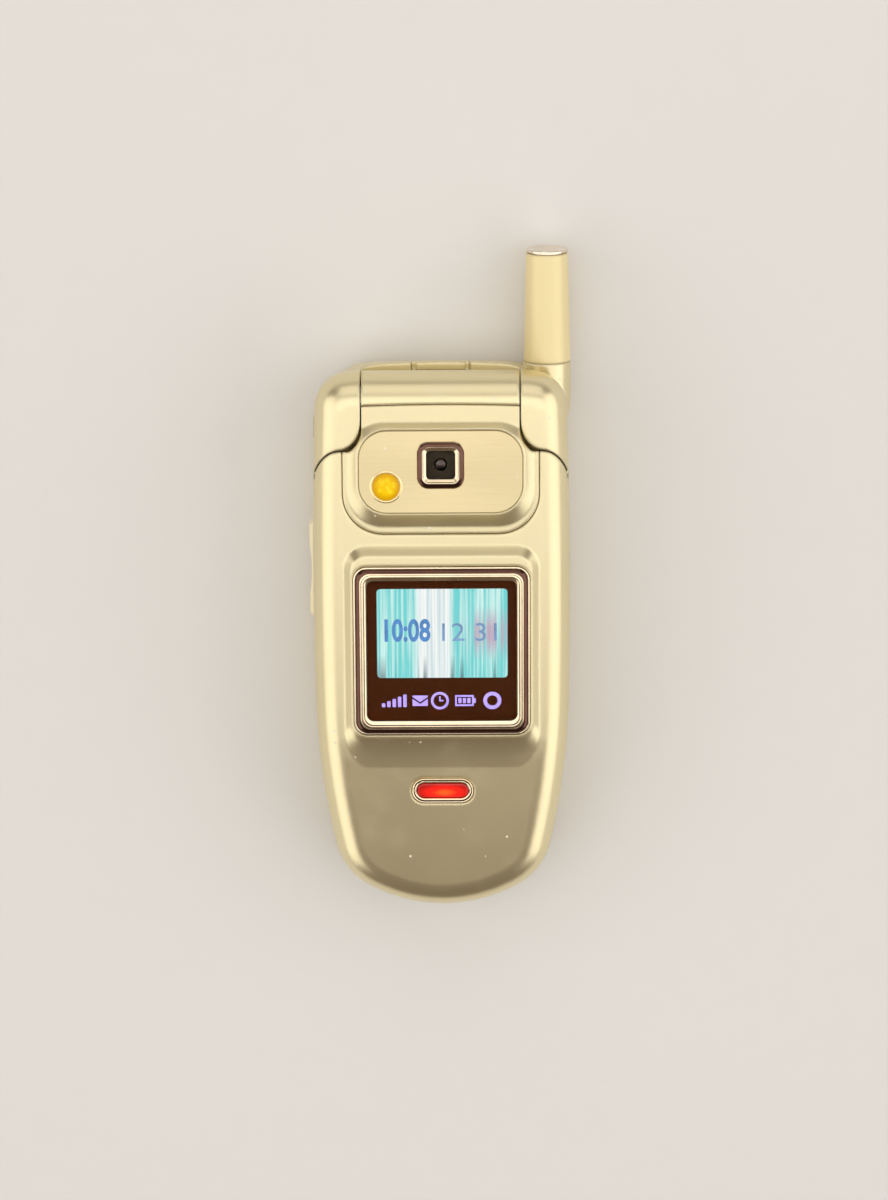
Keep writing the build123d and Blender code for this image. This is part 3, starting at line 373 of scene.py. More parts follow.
def dust_group() -> NodeTree:
    """Fine dust and a few bright specks on faces that look up.

    Returns:
        The node group.
    """

    def body(tree: Tree, source: Node, sink: Node) -> None:
        """Sparse cells for the specks, soft noise for the film.

        Args:
            tree: The group's tree.
            source: Its input node.
            sink: Its output node.
        """
        bare_cells = 0.89  # the share of cells without a speck
        speck_edge, speck_middle = 0.16, 0.09
        film_scale, film_foot, film_top, film_strength = 140.0, 0.52, 0.85, 0.12
        steep, level = 0.4, 0.95  # how far a face looks up
        geometry = tree.node("ShaderNodeNewGeometry")
        axes = tree.node("ShaderNodeSeparateXYZ", Vector=geometry.outputs["Normal"])
        up = tree.remap(axes.outputs[2], steep, level)
        cells = tree.cells(source.outputs["Scale"])
        grey = tree.node("ShaderNodeSeparateColor", Color=cells.outputs["Color"])
        chosen = tree.math("GREATER_THAN", grey.outputs[0], bare_cells)
        dot = tree.remap(cells.outputs["Distance"], speck_edge, speck_middle)
        speck = tree.times(chosen, dot)
        cloud = tree.noise(tree.place(), film_scale, 5.0, 0.65)
        film = tree.remap(cloud, film_foot, film_top, 0.0, film_strength)
        settled = tree.times(tree.math("MAXIMUM", speck, film), up)
        tree.feed(sink.inputs["Mask"], tree.times(settled, source.outputs["Amount"]))

    inputs = {"Scale": 260.0, "Amount": 0.4}
    return make_group("dust", inputs, {"Mask": "NodeSocketFloat"}, body)


def scratch_group() -> NodeTree:
    """Fine hairline scratches in two directions, as a mask.

    Returns:
        The node group.
    """

    def body(tree: Tree, source: Node, sink: Node) -> None:
        """Two stretched noises turned against each other.

        Args:
            tree: The group's tree.
            source: Its input node.
            sink: Its output node.
        """
        lines: list[Socket] = []
        line_foot, line_top = 0.68, 0.74
        sets = ((0.5, (60.0, 2600.0, 60.0)), (-0.9, (2100.0, 45.0, 45.0)))
        for turn, stretch in sets:
            source_place = tree.node("ShaderNodeTexCoord")
            mapping = tree.node("ShaderNodeMapping")
            mapping.inputs["Rotation"].default_value = (0.0, 0.0, turn)
            mapping.inputs["Scale"].default_value = stretch
            tree.feed(mapping.inputs["Vector"], source_place.outputs["Object"])
            lines.append(tree.remap(tree.noise(mapping.outputs[0], 1.0, 2.0), line_foot, line_top))
        both = tree.math("MAXIMUM", *lines)
        tree.feed(sink.inputs["Mask"], tree.times(both, source.outputs["Amount"]))

    return make_group("hairline_scratches", {"Amount": 0.4}, {"Mask": "NodeSocketFloat"}, body)


def brushing_group() -> NodeTree:
    """Brushing along X: long streaks, as a value about zero and a height.

    Returns:
        The node group.
    """

    def body(tree: Tree, source: Node, sink: Node) -> None:
        """Fine and coarse streaks added up.

        Args:
            tree: The group's tree.
            source: Its input node.
            sink: Its output node.
        """
        fine_share, coarse_share = 0.7, 0.6
        fine_stretch, coarse_stretch = (160.0, 9000.0, 9000.0), (70.0, 3200.0, 3200.0)
        fine = tree.noise(tree.place(fine_stretch), 1.0, 3.0)
        coarse = tree.noise(tree.place(coarse_stretch), 1.0, 2.0)
        streak = tree.fold(coarse, coarse_share, tree.times(fine, fine_share))
        centred = tree.minus(streak, (fine_share + coarse_share) / 2)
        tree.feed(sink.inputs["Streak"], tree.times(centred, source.outputs["Amount"]))
        tree.feed(sink.inputs["Height"], streak)

    outputs = {"Streak": "NodeSocketFloat", "Height": "NodeSocketFloat"}
    return make_group("brushing", {"Amount": 1.0}, outputs, body)


def grain_group() -> NodeTree:
    """Spark-eroded grain of moulded plastic or rubber, as a height and a slow drift.

    Returns:
        The node group.
    """

    def body(tree: Tree, source: Node, sink: Node) -> None:
        """Fine grain and a slow change over the piece.

        Args:
            tree: The group's tree.
            source: Its input node.
            sink: Its output node.
        """
        drift_scale = 160.0
        fine = tree.noise(tree.place(), source.outputs["Scale"], 3.0, 0.6)
        drift = tree.noise(tree.place(), drift_scale, 2.0)
        tree.feed(sink.inputs["Height"], fine)
        tree.feed(sink.inputs["Drift"], tree.minus(drift, 0.5))

    outputs = {"Height": "NodeSocketFloat", "Drift": "NodeSocketFloat"}
    return make_group("moulded_grain", {"Scale": 5000.0}, outputs, body)


# ---------------------------------------------------------------- finishes
class Surface:
    """A material under construction: one Principled BSDF and a tree helper."""

    def __init__(self, name: str) -> None:
        """Make the material with its shader and output.

        Args:
            name: The material's name.
        """
        self.material = bpy.data.materials.new(name)
        self.material.use_nodes = True
        self.material.node_tree.nodes.clear()
        self.tree = Tree(self.material.node_tree)
        self.shader = self.tree.node("ShaderNodeBsdfPrincipled")
        output = self.tree.node("ShaderNodeOutputMaterial")
        self.tree.feed(output.inputs["Surface"], self.shader.outputs[0])

    def set(self, **values: object) -> None:
        """Set or link inputs of the shader, named with _ for a space.

        Args:
            values: Each input by its name.
        """
        for name, value in values.items():
            self.tree.feed(self.shader.inputs[name.replace("_", " ")], value)

    def group(self, group: NodeTree, **values: float) -> Node:
        """Place a node group with its own values.

        Args:
            group: The group.
            values: Each of the group's inputs by its name.

        Returns:
            The placed node.
        """
        made = self.tree.node("ShaderNodeGroup")
        made.node_tree = group
        for name, value in values.items():
            made.inputs[name].default_value = value
        return made

    def bump(
        self, height: object, strength: float, distance: float, rounding: float = 0.0
    ) -> None:
        """Drive the shader's normal by a height.

        Args:
            height: The height.
            strength: How strongly it shows.
            distance: What a height of 1 stands for, in metres.
            rounding: The radius, in metres, by which edges look softened.
        """
        made = self.tree.node("ShaderNodeBump", Strength=strength, Distance=distance)
        self.tree.feed(made.inputs["Height"], height)
        if rounding:
            rounded = self.tree.node("ShaderNodeBevel", samples=6, Radius=rounding)
            self.tree.feed(made.inputs["Normal"], rounded.outputs[0])
        self.set(Normal=made.outputs[0])


@dataclass(frozen=True)
class SatinPaint:
    """Metallic paint of the casing: flake, slight wear on the edges, dust and hairlines."""

    name: str = "satin_silver_paint"
    base: Colour = srgb(233, 221, 180)
    worn: Colour = srgb(244, 236, 214)
    metallic: float = 0.9
    roughness: float = 0.3
    flake: float = 0.16
    dust: float = 0.8
    wear: float = 0.6
    hairlines: float = 0.25
    spread: float = 0.1
    drift_scale: float = 45.0
    rounding: float = 0.0007

    def build(self) -> Material:
        """Build the paint.

        Returns:
            The finished material.
        """
        drift_tone, drift_dulls, dust_dulls, line_dulls = 0.08, 0.06, 0.4, 0.08
        line_depth = -0.6  # against the flake's height
        surface = Surface(self.name)
        tree = surface.tree
        flake = surface.group(paint_flake_group(), Scale=FLAKE_SCALE, Amount=self.flake)
        wear = surface.group(edge_wear_group(), Radius=WEAR_RADIUS, Amount=self.wear)
        dust = surface.group(dust_group(), Scale=DUST_SCALE, Amount=self.dust).outputs["Mask"]
        lines = surface.group(scratch_group(), Amount=self.hairlines).outputs["Mask"]
        drift = tree.minus(tree.noise(tree.place(), self.drift_scale, 2.0), 0.5)
        tone = tree.fold(drift, drift_tone, tree.math("ADD", flake.outputs["Sparkle"], 0.5))
        dark, pale = scaled(self.base, 1 - self.spread), scaled(self.base, 1 + self.spread)
        painted = tree.mix(tone, rgba(dark), rgba(pale))
        polished = tree.mix(wear.outputs["Mask"], painted, rgba(self.worn))
        colour = tree.mix(dust, polished, rgba(DUST_COLOUR))
        rough = tree.fold(drift, drift_dulls, self.roughness)
        rough = tree.fold(dust, dust_dulls, rough)
        rough = tree.fold(lines, line_dulls, rough)
        metal = tree.fold(dust, -self.metallic, self.metallic)
        surface.set(Base_Color=colour, Roughness=rough, Metallic=metal)
        surface.set(Coat_Weight=0.1, Coat_Roughness=0.25)
        height = tree.fold(lines, line_depth, flake.outputs["Height"])
        surface.bump(height, 0.05, 0.00002, self.rounding)
        return surface.material


@dataclass(frozen=True)
class BrushedPlate:
    """Brushed and clear-coated metal plate, with its streaks along X."""

    name: str = "brushed_plate"
    base: Colour = srgb(226, 210, 166)
    roughness: float = 0.3
    brushing: float = 0.9
    dust: float = 0.5
    hairlines: float = 0.3
    metallic: float = 0.9

    def build(self) -> Material:
        """Build the brushed metal.

        Returns:
            The finished material.
        """
        dark_streak, pale_streak = 0.88, 1.1
        streak_dulls, line_dulls = 0.12, 0.1
        surface = Surface(self.name)
        tree = surface.tree
        brush = surface.group(brushing_group(), Amount=self.brushing)
        dust = surface.group(dust_group(), Scale=DUST_SCALE, Amount=self.dust)
        lines = surface.group(scratch_group(), Amount=self.hairlines)
        tone = tree.math("ADD", brush.outputs["Streak"], 0.5)
        dark, pale = scaled(self.base, dark_streak), scaled(self.base, pale_streak)
        metal = tree.mix(tone, rgba(dark), rgba(pale))
        colour = tree.mix(dust.outputs["Mask"], metal, rgba(DUST_COLOUR))
        rough = tree.fold(brush.outputs["Streak"], streak_dulls, self.roughness)
        rough = tree.fold(lines.outputs["Mask"], line_dulls, rough)
        surface.set(Base_Color=colour, Metallic=self.metallic, Roughness=rough)
        surface.set(Anisotropic=0.4, Coat_Weight=0.15, Coat_Roughness=0.15)
        surface.bump(brush.outputs["Height"], 0.03, 0.00001)
        return surface.material


@dataclass(frozen=True)
class Chrome:
    """Polished plating, clear or smoky, with faint hairlines and dust on faces that look up."""

    name: str
    base: Colour
    roughness: float = 0.09
    dust: float = 0.4
    dust_colour: Colour = srgb(220, 214, 204)
    dust_scale: float = 700.0
    hairlines: float = 0.5
    haze: float = 1.18

    def build(self) -> Material:
        """Build the plating.

        Returns:
            The finished material.
        """
        line_dulls, dust_dulls, haze_dulls = 0.16, 0.4, 0.04
        haze_scale, haze_foot, haze_top = 260.0, 0.4, 0.75
        surface = Surface(self.name)
        tree = surface.tree
        lines = surface.group(scratch_group(), Amount=self.hairlines).outputs["Mask"]
        dust = surface.group(dust_group(), Scale=self.dust_scale, Amount=self.dust).outputs["Mask"]
        haze = tree.remap(tree.noise(tree.place(), haze_scale, 3.0), haze_foot, haze_top)
        plated = tree.mix(haze, rgba(self.base), rgba(scaled(self.base, self.haze)))
        colour = tree.mix(dust, plated, rgba(self.dust_colour))
        rough = tree.fold(lines, line_dulls, self.roughness)
        rough = tree.fold(dust, dust_dulls, rough)
        rough = tree.fold(haze, haze_dulls, rough)
        surface.set(Base_Color=colour, Metallic=1.0, Roughness=rough)
        surface.bump(lines, 0.03, 0.00001)
        return surface.material


@dataclass(frozen=True)
class Moulded:
    """Moulded plastic or rubber with an eroded grain."""

    name: str
    base: Colour
    roughness: float = 0.5
    grain_scale: float = 5000.0
    grain: float = 0.15
    metallic: float = 0.0
    sheen: float = 0.0
    wear: float = 0.2
    drift: float = 0.15
    specular: float = 0.5

    def build(self) -> Material:
        """Build the moulded finish.

        Returns:
            The finished material.
        """
        swing = 0.08  # how far the roughness moves with the grain, each way
        surface = Surface(self.name)
        tree = surface.tree
        grain = surface.group(grain_group(), Scale=self.grain_scale)
        wear = surface.group(edge_wear_group(), Radius=WEAR_RADIUS, Amount=self.wear)
        tone = tree.fold(grain.outputs["Drift"], 0.5, 0.5)
        dark, pale = scaled(self.base, 1 - self.drift), scaled(self.base, 1 + self.drift)
        plain = tree.mix(tone, rgba(dark), rgba(pale))
        rubbed = rgba(scaled(self.base, 1.5, 0.04))
        colour = tree.mix(wear.outputs["Mask"], plain, rubbed)
        rough = tree.fold(grain.outputs["Height"], 2 * swing, self.roughness - swing)
        surface.set(Base_Color=colour, Metallic=self.metallic, Roughness=rough)
        surface.set(Sheen_Weight=self.sheen, Specular_IOR_Level=self.specular)
        surface.bump(grain.outputs["Height"], self.grain, 0.00003)
        return surface.material


@dataclass(frozen=True)
class ClearWindow:
    """Clear hard window: glass with hairlines and a faint finger film."""

    name: str
    tint: Colour = srgb(252, 249, 246)
    roughness: float = 0.01
    refraction: float = 1.08
    hairlines: float = 0.6
    film: float = 0.03

    def build(self) -> Material:
        """Build the window.

        Returns:
            The finished material.
        """
        film_scale, film_foot, film_top, line_dulls = 90.0, 0.45, 0.8, 0.06
        surface = Surface(self.name)
        tree = surface.tree
        lines = surface.group(scratch_group(), Amount=self.hairlines)
        cloud = tree.noise(tree.place(), film_scale, 4.0)
        film = tree.remap(cloud, film_foot, film_top, 0.0, self.film)
        scored = tree.fold(lines.outputs["Mask"], line_dulls, self.roughness)
        rough = tree.math("ADD", film, scored)
        surface.set(Base_Color=rgba(self.tint), Metallic=0.0, Roughness=rough)
        surface.set(Transmission_Weight=1.0, IOR=self.refraction)
        surface.bump(lines.outputs["Mask"], 0.02, 0.00001)
        return surface.material


@dataclass(frozen=True)
class StreakedPicture:
    """Lit colour display: cyan and white curtains of light, mauve streaks and a row raster."""

    name: str = "lit_picture"
    left_edge: float = -4.4
    right_edge: float = 1.7
    blend: float = 0.7
    cyan: tuple[Colour, Colour] = (srgb(106, 216, 218), srgb(212, 248, 246))
    white: tuple[Colour, Colour] = (srgb(208, 228, 234), srgb(246, 254, 254))
    mauve: Colour = srgb(194, 162, 190)
    mauve_left: float = 2.0
    mauve_right: float = 7.0
    mauve_height: float = 3.4
    mauve_reach: float = 5.0
    mauve_weight: float = 0.9
    shade: Colour = srgb(52, 92, 110)
    shade_top: float = -0.5
    shade_foot: float = -4.7
    shade_weight: float = 0.7
    row_pitch: float = 0.127
    row_depth: float = 0.03
    unlit: Colour = srgb(16, 20, 22)
    strength: float = 1.0

    def streaks(self, tree: Tree, across: float, along: float, detail: float) -> Socket:
        """Upright streaks: a noise squeezed across the picture."""
        return tree.noise(tree.place((across, along, along)), 1.0, detail)

    def curtains(self, tree: Tree, across: Socket) -> Socket:
        """White light between two edges and cyan on both sides, each in streaks.

        Args:
            tree: The material's tree.
            across: The place across the picture, in millimetres.

        Returns:
            The colour.
        """
        broad_share = 0.55
        past_left = tree.remap(across, self.left_edge - self.blend, self.left_edge + self.blend)
        past_right = tree.remap(across, self.right_edge - self.blend, self.right_edge + self.blend)
        fine = self.streaks(tree, 2600.0, 34.0, 3.0)
        broad = self.streaks(tree, 520.0, 60.0, 2.0)
        pale = tree.remap(tree.fold(broad, broad_share, fine), 0.66, 0.98)
        cyan = tree.mix(pale, rgba(self.cyan[0]), rgba(self.cyan[1]))
        bright = tree.remap(fine, 0.38, 0.6)
        white = tree.mix(bright, rgba(self.white[0]), rgba(self.white[1]))
        return tree.mix(tree.minus(past_left, past_right), cyan, white)

    def mauve_mask(self, tree: Tree, across: Socket, along: Socket) -> Socket:
        """Where mauve streaks lie: on the right, in a band about one height.

        Args:
            tree: The material's tree.
            across: The place across the picture, in millimetres.
            along: The place along it.

        Returns:
            The mask.
        """
        side = tree.remap(across, self.mauve_left, self.mauve_right)
        off_band = tree.math("ABSOLUTE", tree.minus(along, self.mauve_height))
        band = tree.remap(off_band, self.mauve_reach, 1.0)
        line = tree.remap(self.streaks(tree, 1400.0, 26.0, 1.0), 0.34, 0.6)
        return tree.times(tree.times(tree.times(side, band), line), self.mauve_weight)

    def shade_mask(self, tree: Tree, along: Socket) -> Socket:
        """Where dark streaks rise from the picture's foot.

        Args:
            tree: The material's tree.
            along: The place along the picture, in millimetres.

        Returns:
            The mask.
        """
        foot = tree.remap(along, self.shade_top, self.shade_foot)
        line = tree.remap(self.streaks(tree, 900.0, 20.0, 1.0), 0.56, 0.68)
        return tree.times(tree.times(foot, line), self.shade_weight)

    def build(self) -> Material:
        """Build the picture.

        Returns:
            The finished material, which gives its own light.
        """
        surface = Surface(self.name)
        tree = surface.tree
        across, along = tree.axes()
        curtains = self.curtains(tree, across)
        tinted = tree.mix(self.mauve_mask(tree, across, along), curtains, rgba(self.mauve))
        shaded = tree.mix(self.shade_mask(tree, along), tinted, rgba(self.shade))
        row = tree.math("SINE", tree.times(along, 2 * math.pi / self.row_pitch))
        lit = tree.node("ShaderNodeVectorMath", operation="SCALE")
        tree.feed(lit.inputs[0], shaded)
        tree.feed(lit.inputs["Scale"], tree.fold(row, self.row_depth, 1 - self.row_depth))
        surface.set(Base_Color=rgba(self.unlit), Roughness=0.4)
        surface.set(Emission_Color=lit.outputs[0], Emission_Strength=self.strength)
        return surface.material


@dataclass(frozen=True)
class Glow:
    """Lit print or segment of one hue, with a soft unevenness."""

    name: str
    hue: Colour
    strength: float = 0.8

    def build(self) -> Material:
        """Build the lit print.

        Returns:
            The finished material.
        """
        surface = Surface(self.name)
        tree = surface.tree
        uneven = tree.remap(tree.noise(tree.place(), 700.0, 2.0), 0.3, 0.7)
        dim, bright = scaled(self.hue, 0.85), scaled(self.hue, 1.12)
        colour = tree.mix(uneven, rgba(dim), rgba(bright))
        surface.set(Base_Color=colour, Roughness=0.45)
        surface.set(Emission_Color=colour, Emission_Strength=self.strength)
        return surface.material


@dataclass(frozen=True)
class LampLens:
    """Red lens over a lamp: a hot spot near its middle that falls off to deep red."""

    name: str
    centre: Point
    spot_shift: Point = (0.3, -0.35)
    half_length: float = 4.4
    half_width: float = 1.5
    plastic: Colour = srgb(150, 16, 12)
    deep: Colour = srgb(128, 14, 8)
    red: Colour = srgb(252, 34, 20)
    hot: Colour = srgb(255, 108, 34)
    strength: float = 0.9

    def build(self) -> Material:
        """Build the lit lens.

        Returns:
            The finished material.
        """
        cloud_scale, cloud_share = 900.0, 0.2
        surface = Surface(self.name)
        tree = surface.tree
        spot = (self.centre[0] + self.spot_shift[0], self.centre[1] + self.spot_shift[1])
        far = tree.distance(spot, (self.half_length, self.half_width))
        cloudy = tree.fold(tree.noise(tree.place(), cloud_scale, 2.0), cloud_share, far)
        red = tree.mix(tree.remap(cloudy, 1.25, 0.7), rgba(self.deep), rgba(self.red))
        glow = tree.mix(tree.remap(cloudy, 0.62, 0.22), red, rgba(self.hot))
        surface.set(Base_Color=rgba(self.plastic), Roughness=0.18, Coat_Weight=0.5)
        surface.set(Emission_Color=glow, Emission_Strength=self.strength)
        return surface.material


@dataclass(frozen=True)
class AmberLens:
    """Amber flash lens: yellow with painted glints for the reflector behind it, painted shade
    deeper at its edge and a faint painted glow.
    """

    name: str
    centre: Point
    radius: float = 2.4
    middle: Colour = srgb(250, 204, 0)
    # painted shade: the deeper orange that the lens darkens to at its rim
    edge: Colour = srgb(214, 158, 0)
    # painted reflection: the colour of the reflector's glints
    painted_glint: Colour = srgb(255, 226, 40)
    facet_scale: float = 1500.0
    # a faint painted glow: the flash is not lit
    strength: float = 0.06

    def build(self) -> Material:
        """Build the amber lens.

        Returns:
            The finished material.
        """
        surface = Surface(self.name)
        tree = surface.tree
        far = tree.distance(self.centre, (self.radius, self.radius))
        # painted shade: the lens deepens towards its rim
        body = tree.mix(tree.remap(far, 0.45, 1.0), rgba(self.middle), rgba(self.edge))
        facets = tree.cells(self.facet_scale)
        grey = tree.node("ShaderNodeSeparateColor", Color=facets.outputs["Color"])
        chosen = tree.remap(grey.outputs[0], 0.6, 0.95)
        # painted reflection: bright glints of the reflector, kept to the lens's middle
        painted_glints = tree.times(chosen, tree.remap(far, 0.9, 0.3))
        colour = tree.mix(painted_glints, body, rgba(self.painted_glint))
        surface.set(Base_Color=colour, Roughness=0.4, Specular_IOR_Level=0.15)
        surface.set(Coat_Weight=0.08, Coat_Roughness=0.08)
        # painted glow, though the flash is off
        surface.set(Emission_Color=colour, Emission_Strength=self.strength)
        surface.bump(facets.outputs["Distance"], 0.2, 0.00005)
        return surface.material


# ---------------------------------------------------------------- mesh helpers
def placed(name: str, data: bpy.types.ID) -> Object:
    """Put a mesh, curve, lamp or camera into the scene as an object.

    Args:
        name: The object's name.
        data: What it shows.

    Returns:
        The new object.
    """
    made = bpy.data.objects.new(name, data)
    bpy.context.scene.collection.objects.link(made)
    return made


def mesh_object(
    name: str, shape: bmesh.types.BMesh, materials: Sequence[Material], smooth: float = 35.0
) -> Object:
    """Turn a bmesh into a scene object.

    Args:
        name: The piece's name.
        shape: The mesh, which is freed.
        materials: Its finishes, in the order of its faces' slots.
        smooth: Edges flatter than this angle in degrees are shaded smooth.

    Returns:
        The new object.
    """
    bmesh.ops.recalc_face_normals(shape, faces=shape.faces)
    mesh = bpy.data.meshes.new(name)
    shape.to_mesh(mesh)
    shape.free()
    for material in materials:
        mesh.materials.append(material)
    mesh.shade_smooth()
    mesh.set_sharp_from_angle(angle=math.radians(smooth))
    return placed(name, mesh)


def rounded_rectangle(width: float, length: float, corner: float, steps: int = 12) -> list[Point]:
    """Points of a rounded rectangle about the origin, counter-clockwise.

    Args:
        width: Its size along X.
        length: Its size along Y.
        corner: Its corners' radius.
        steps: Steps round each corner.

    Returns:
        The points.
    """
    points: list[Point] = []
    for index, (side_x, side_y) in enumerate(((1, 1), (-1, 1), (-1, -1), (1, -1))):
        centre_x = side_x * (width / 2 - corner)
        centre_y = side_y * (length / 2 - corner)
        for step in range(steps + 1):
            angle = math.pi / 2 * (index + step / steps)
            point = (centre_x + corner * math.cos(angle), centre_y + corner * math.sin(angle))
            points.append(point)
    return points


def circle(radius: float, steps: int = 64) -> list[Point]:
    """Points of a circle about the origin."""
    return [(radius * math.cos(turn), radius * math.sin(turn)) for turn in turns(steps)]


def turns(steps: int) -> list[float]:
    """Equal angles round a full turn."""
    return [2 * math.pi * step / steps for step in range(steps)]


def moved(outline: Outline, across: float, along: float) -> list[Point]:
    """An outline shifted in its plane."""
    return [(x + across, y + along) for x, y in outline]


def spun(outline: Outline, angle: float) -> list[Point]:
    """An outline turned about the origin by an angle in radians."""
    cos, sin = math.cos(angle), math.sin(angle)
    return [(x * cos - y * sin, x * sin + y * cos) for x, y in outline]


def turned(
    name: str, profile: Outline, centre: Point, material: Material, ring: bool = False
) -> Object:
    """A turned piece about an upright axis.

    Args:
        name: The piece's name.
        profile: Radius and height of each point of its section.
        centre: Where the axis stands.
        material: Its finish.
        ring: Whether the section closes on itself, away from the axis.

    Returns:
        The new object.
    """
    shape = bmesh.new()
    points = [
        shape.verts.new(mm(centre[0] + radius, centre[1], height)) for radius, height in profile
    ]
    pairs = list(zip(points, points[1:])) + ([(points[-1], points[0])] if ring else [])
    section = points + [shape.edges.new(pair) for pair in pairs]
    foot = mm(*centre, 0.0)
    upright = (0, 0, 1)
    bmesh.ops.spin(
        shape, geom=section, cent=foot, axis=upright, angle=2 * math.pi, steps=TURN_STEPS
    )
    bmesh.ops.remove_doubles(shape, verts=shape.verts, dist=WELD)
    return mesh_object(name, shape, [material])


@dataclass(frozen=True)
class Band:
    """One ring of a banded frame, and the finish of the face that follows it."""

    width: float
    length: float
    corner: float
    height: float
    finish: int = 0


def banded_frame(
    name: str, bands: Sequence[Band], centre: Point, materials: Sequence[Material]
) -> Object:
    """A closed frame whose section runs through bands, each with its own finish.

    Args:
        name: The piece's name.
        bands: The rings, round the section.
        centre: The frame's middle.
        materials: The finishes that the bands name by number.

    Returns:
        The new object.
    """
    shape = bmesh.new()
    loops = []
    for band in bands:
        outline = moved(rounded_rectangle(band.width, band.length, band.corner), *centre)
        loops.append([shape.verts.new(mm(x, y, band.height)) for x, y in outline])
    for band, lower, upper in zip(bands, loops, loops[1:] + loops[:1]):
        for index in range(len(lower)):
            after = (index + 1) % len(lower)
            face = shape.faces.new((lower[index], lower[after], upper[after], upper[index]))
            face.material_index = band.finish
    return mesh_object(name, shape, materials)


def curve_piece(name: str, curve: bpy.types.Curve, material: Material) -> Object:
    """Turn a filled curve into a clean mesh piece, and remove the curve.

    Args:
        name: The piece's name.
        curve: The curve.
        material: Its finish.

    Returns:
        The new object.
    """
    carrier = placed(name, curve)
    bpy.context.view_layer.update()
    evaluated = carrier.evaluated_get(bpy.context.evaluated_depsgraph_get())
    filled = bpy.data.meshes.new_from_object(evaluated)
    shape = bmesh.new()
    shape.from_mesh(filled)
    bmesh.ops.remove_doubles(shape, verts=shape.verts, dist=WELD)
    bpy.data.objects.remove(carrier)
    bpy.data.curves.remove(curve)
    bpy.data.meshes.remove(filled)
    for face in shape.faces:
        face.material_index = 0
    return mesh_object(name, shape, [material])


def plate(
    name: str,
    outlines: Sequence[Outline],
    low: float,
    high: float,
    material: Material,
    bevel: float = 0.0,
) -> Object:
    """A flat piece between two heights.

    Args:
        name: The piece's name.
        outlines: Its outlines; one inside another one is a hole.
        low: The height of its underside.
        high: The height of its top.
        material: Its finish.
        bevel: The rounding of its edges.

    Returns:
        The new object.
    """
    curve = bpy.data.curves.new(name, "CURVE")
    curve.dimensions = "2D"
    curve.fill_mode = "BOTH"
    curve.extrude = ((high - low) / 2 - bevel) * MM
    curve.bevel_depth = bevel * MM
    curve.offset = -bevel * MM
    curve.bevel_resolution = 2
    for outline in outlines:
        spline = curve.splines.new("POLY")
        spline.points.add(len(outline) - 1)
        for point, (x, y) in zip(spline.points, outline):
            point.co = (x * MM, y * MM, 0.0, 1.0)
        spline.use_cyclic_u = True
    made = curve_piece(name, curve, material)
    made.data.transform(Matrix.Translation(mm(0.0, 0.0, (low + high) / 2)))
    return made


@dataclass(frozen=True)
class Lettering:
    """Plain digits or marks of the built-in face, as thin raised print."""

    height: float
    thickness: float = 0.03
    weight: float = 0.0
    stretch: float = 1.0

    def cut(self, name: str, text: str, place: Vector, material: Material) -> Object:
        """Make the print centred on a place given in millimetres.

        Args:
            name: The piece's name.
            text: What it says.
            place: The middle of the print.
            material: Its ink.

        Returns:
            The new object.
        """
        curve = bpy.data.curves.new(name, "FONT")
        curve.body = text
        curve.size = self.height * MM * SIZE_OVER_HEIGHT
        curve.align_x = "CENTER"
        curve.align_y = "CENTER"
        curve.extrude = self.thickness / 2 * MM
        curve.offset = self.weight * MM
        curve.resolution_u = 4
        made = curve_piece(name, curve, material)
        stretch = Matrix.Diagonal((self.stretch, 1.0, 1.0, 1.0))
        made.data.transform(Matrix.Translation(place * MM) @ stretch)
        return made


def joined(name: str, pieces: Sequence[Object]) -> Object:
    """Join pieces of one finish into one.

    Args:
        name: The piece's name.
        pieces: The pieces, which are removed.

    Returns:
        The new object.
    """
    shape = bmesh.new()
    for piece in pieces:
        shape.from_mesh(piece.data)
    materials = list(pieces[0].data.materials)
    for piece in pieces:
        bpy.data.objects.remove(piece)
    return mesh_object(name, shape, materials)


def mirrored_shell(name: str, node: Object, material: Material) -> Object:
    """A symmetric shell from the right half of a CAD shell, with that half's shading normals.

    Args:
        name: The new piece's name.
        node: The CAD node's object.
        material: Its finish.

    Returns:
        The new object.
    """
    layer_name = "true_normal"
    source = node.data.copy()
    stored = source.attributes.new(layer_name, "FLOAT_VECTOR", "CORNER")
    parts = [part for corner in node.data.corner_normals for part in corner.vector]
    stored.data.foreach_set("vector", parts)
    shape = bmesh.new()
    shape.from_mesh(source)
    bpy.data.meshes.remove(source)
    whole = shape.verts[:] + shape.edges[:] + shape.faces[:]
    bmesh.ops.bisect_plane(
        shape, geom=whole, plane_co=(0, 0, 0), plane_no=(1, 0, 0), clear_inner=True
    )
    layer = shape.loops.layers.float_vector[layer_name]
    half = shape.verts[:] + shape.edges[:] + shape.faces[:]
    for item in bmesh.ops.duplicate(shape, geom=half)["geom"]:
        if isinstance(item, bmesh.types.BMVert):
            item.co.x = -item.co.x
        elif isinstance(item, bmesh.types.BMFace):
            for loop in item.loops:
                loop[layer].x = -loop[layer].x
            item.normal_flip()
    middle = [vert for vert in shape.verts if abs(vert.co.x) < WELD]
    bmesh.ops.remove_doubles(shape, verts=middle, dist=WELD)
    mesh = bpy.data.meshes.new(name)
    for face in shape.faces:
        face.material_index = 0
    shape.to_mesh(mesh)
    shape.free()
    corners = mesh.attributes[layer_name].data
    mesh.normals_split_custom_set([Vector(corner.vector).normalized() for corner in corners])
    mesh.attributes.remove(mesh.attributes[layer_name])
    mesh.materials.append(material)
    return placed(name, mesh)


# ---------------------------------------------------------------- the phone
class Body(Enum):
    """The large bodies that pieces ride on."""

    BASE = "base"
    LID = "lid"


Nodes = dict[str, Object]


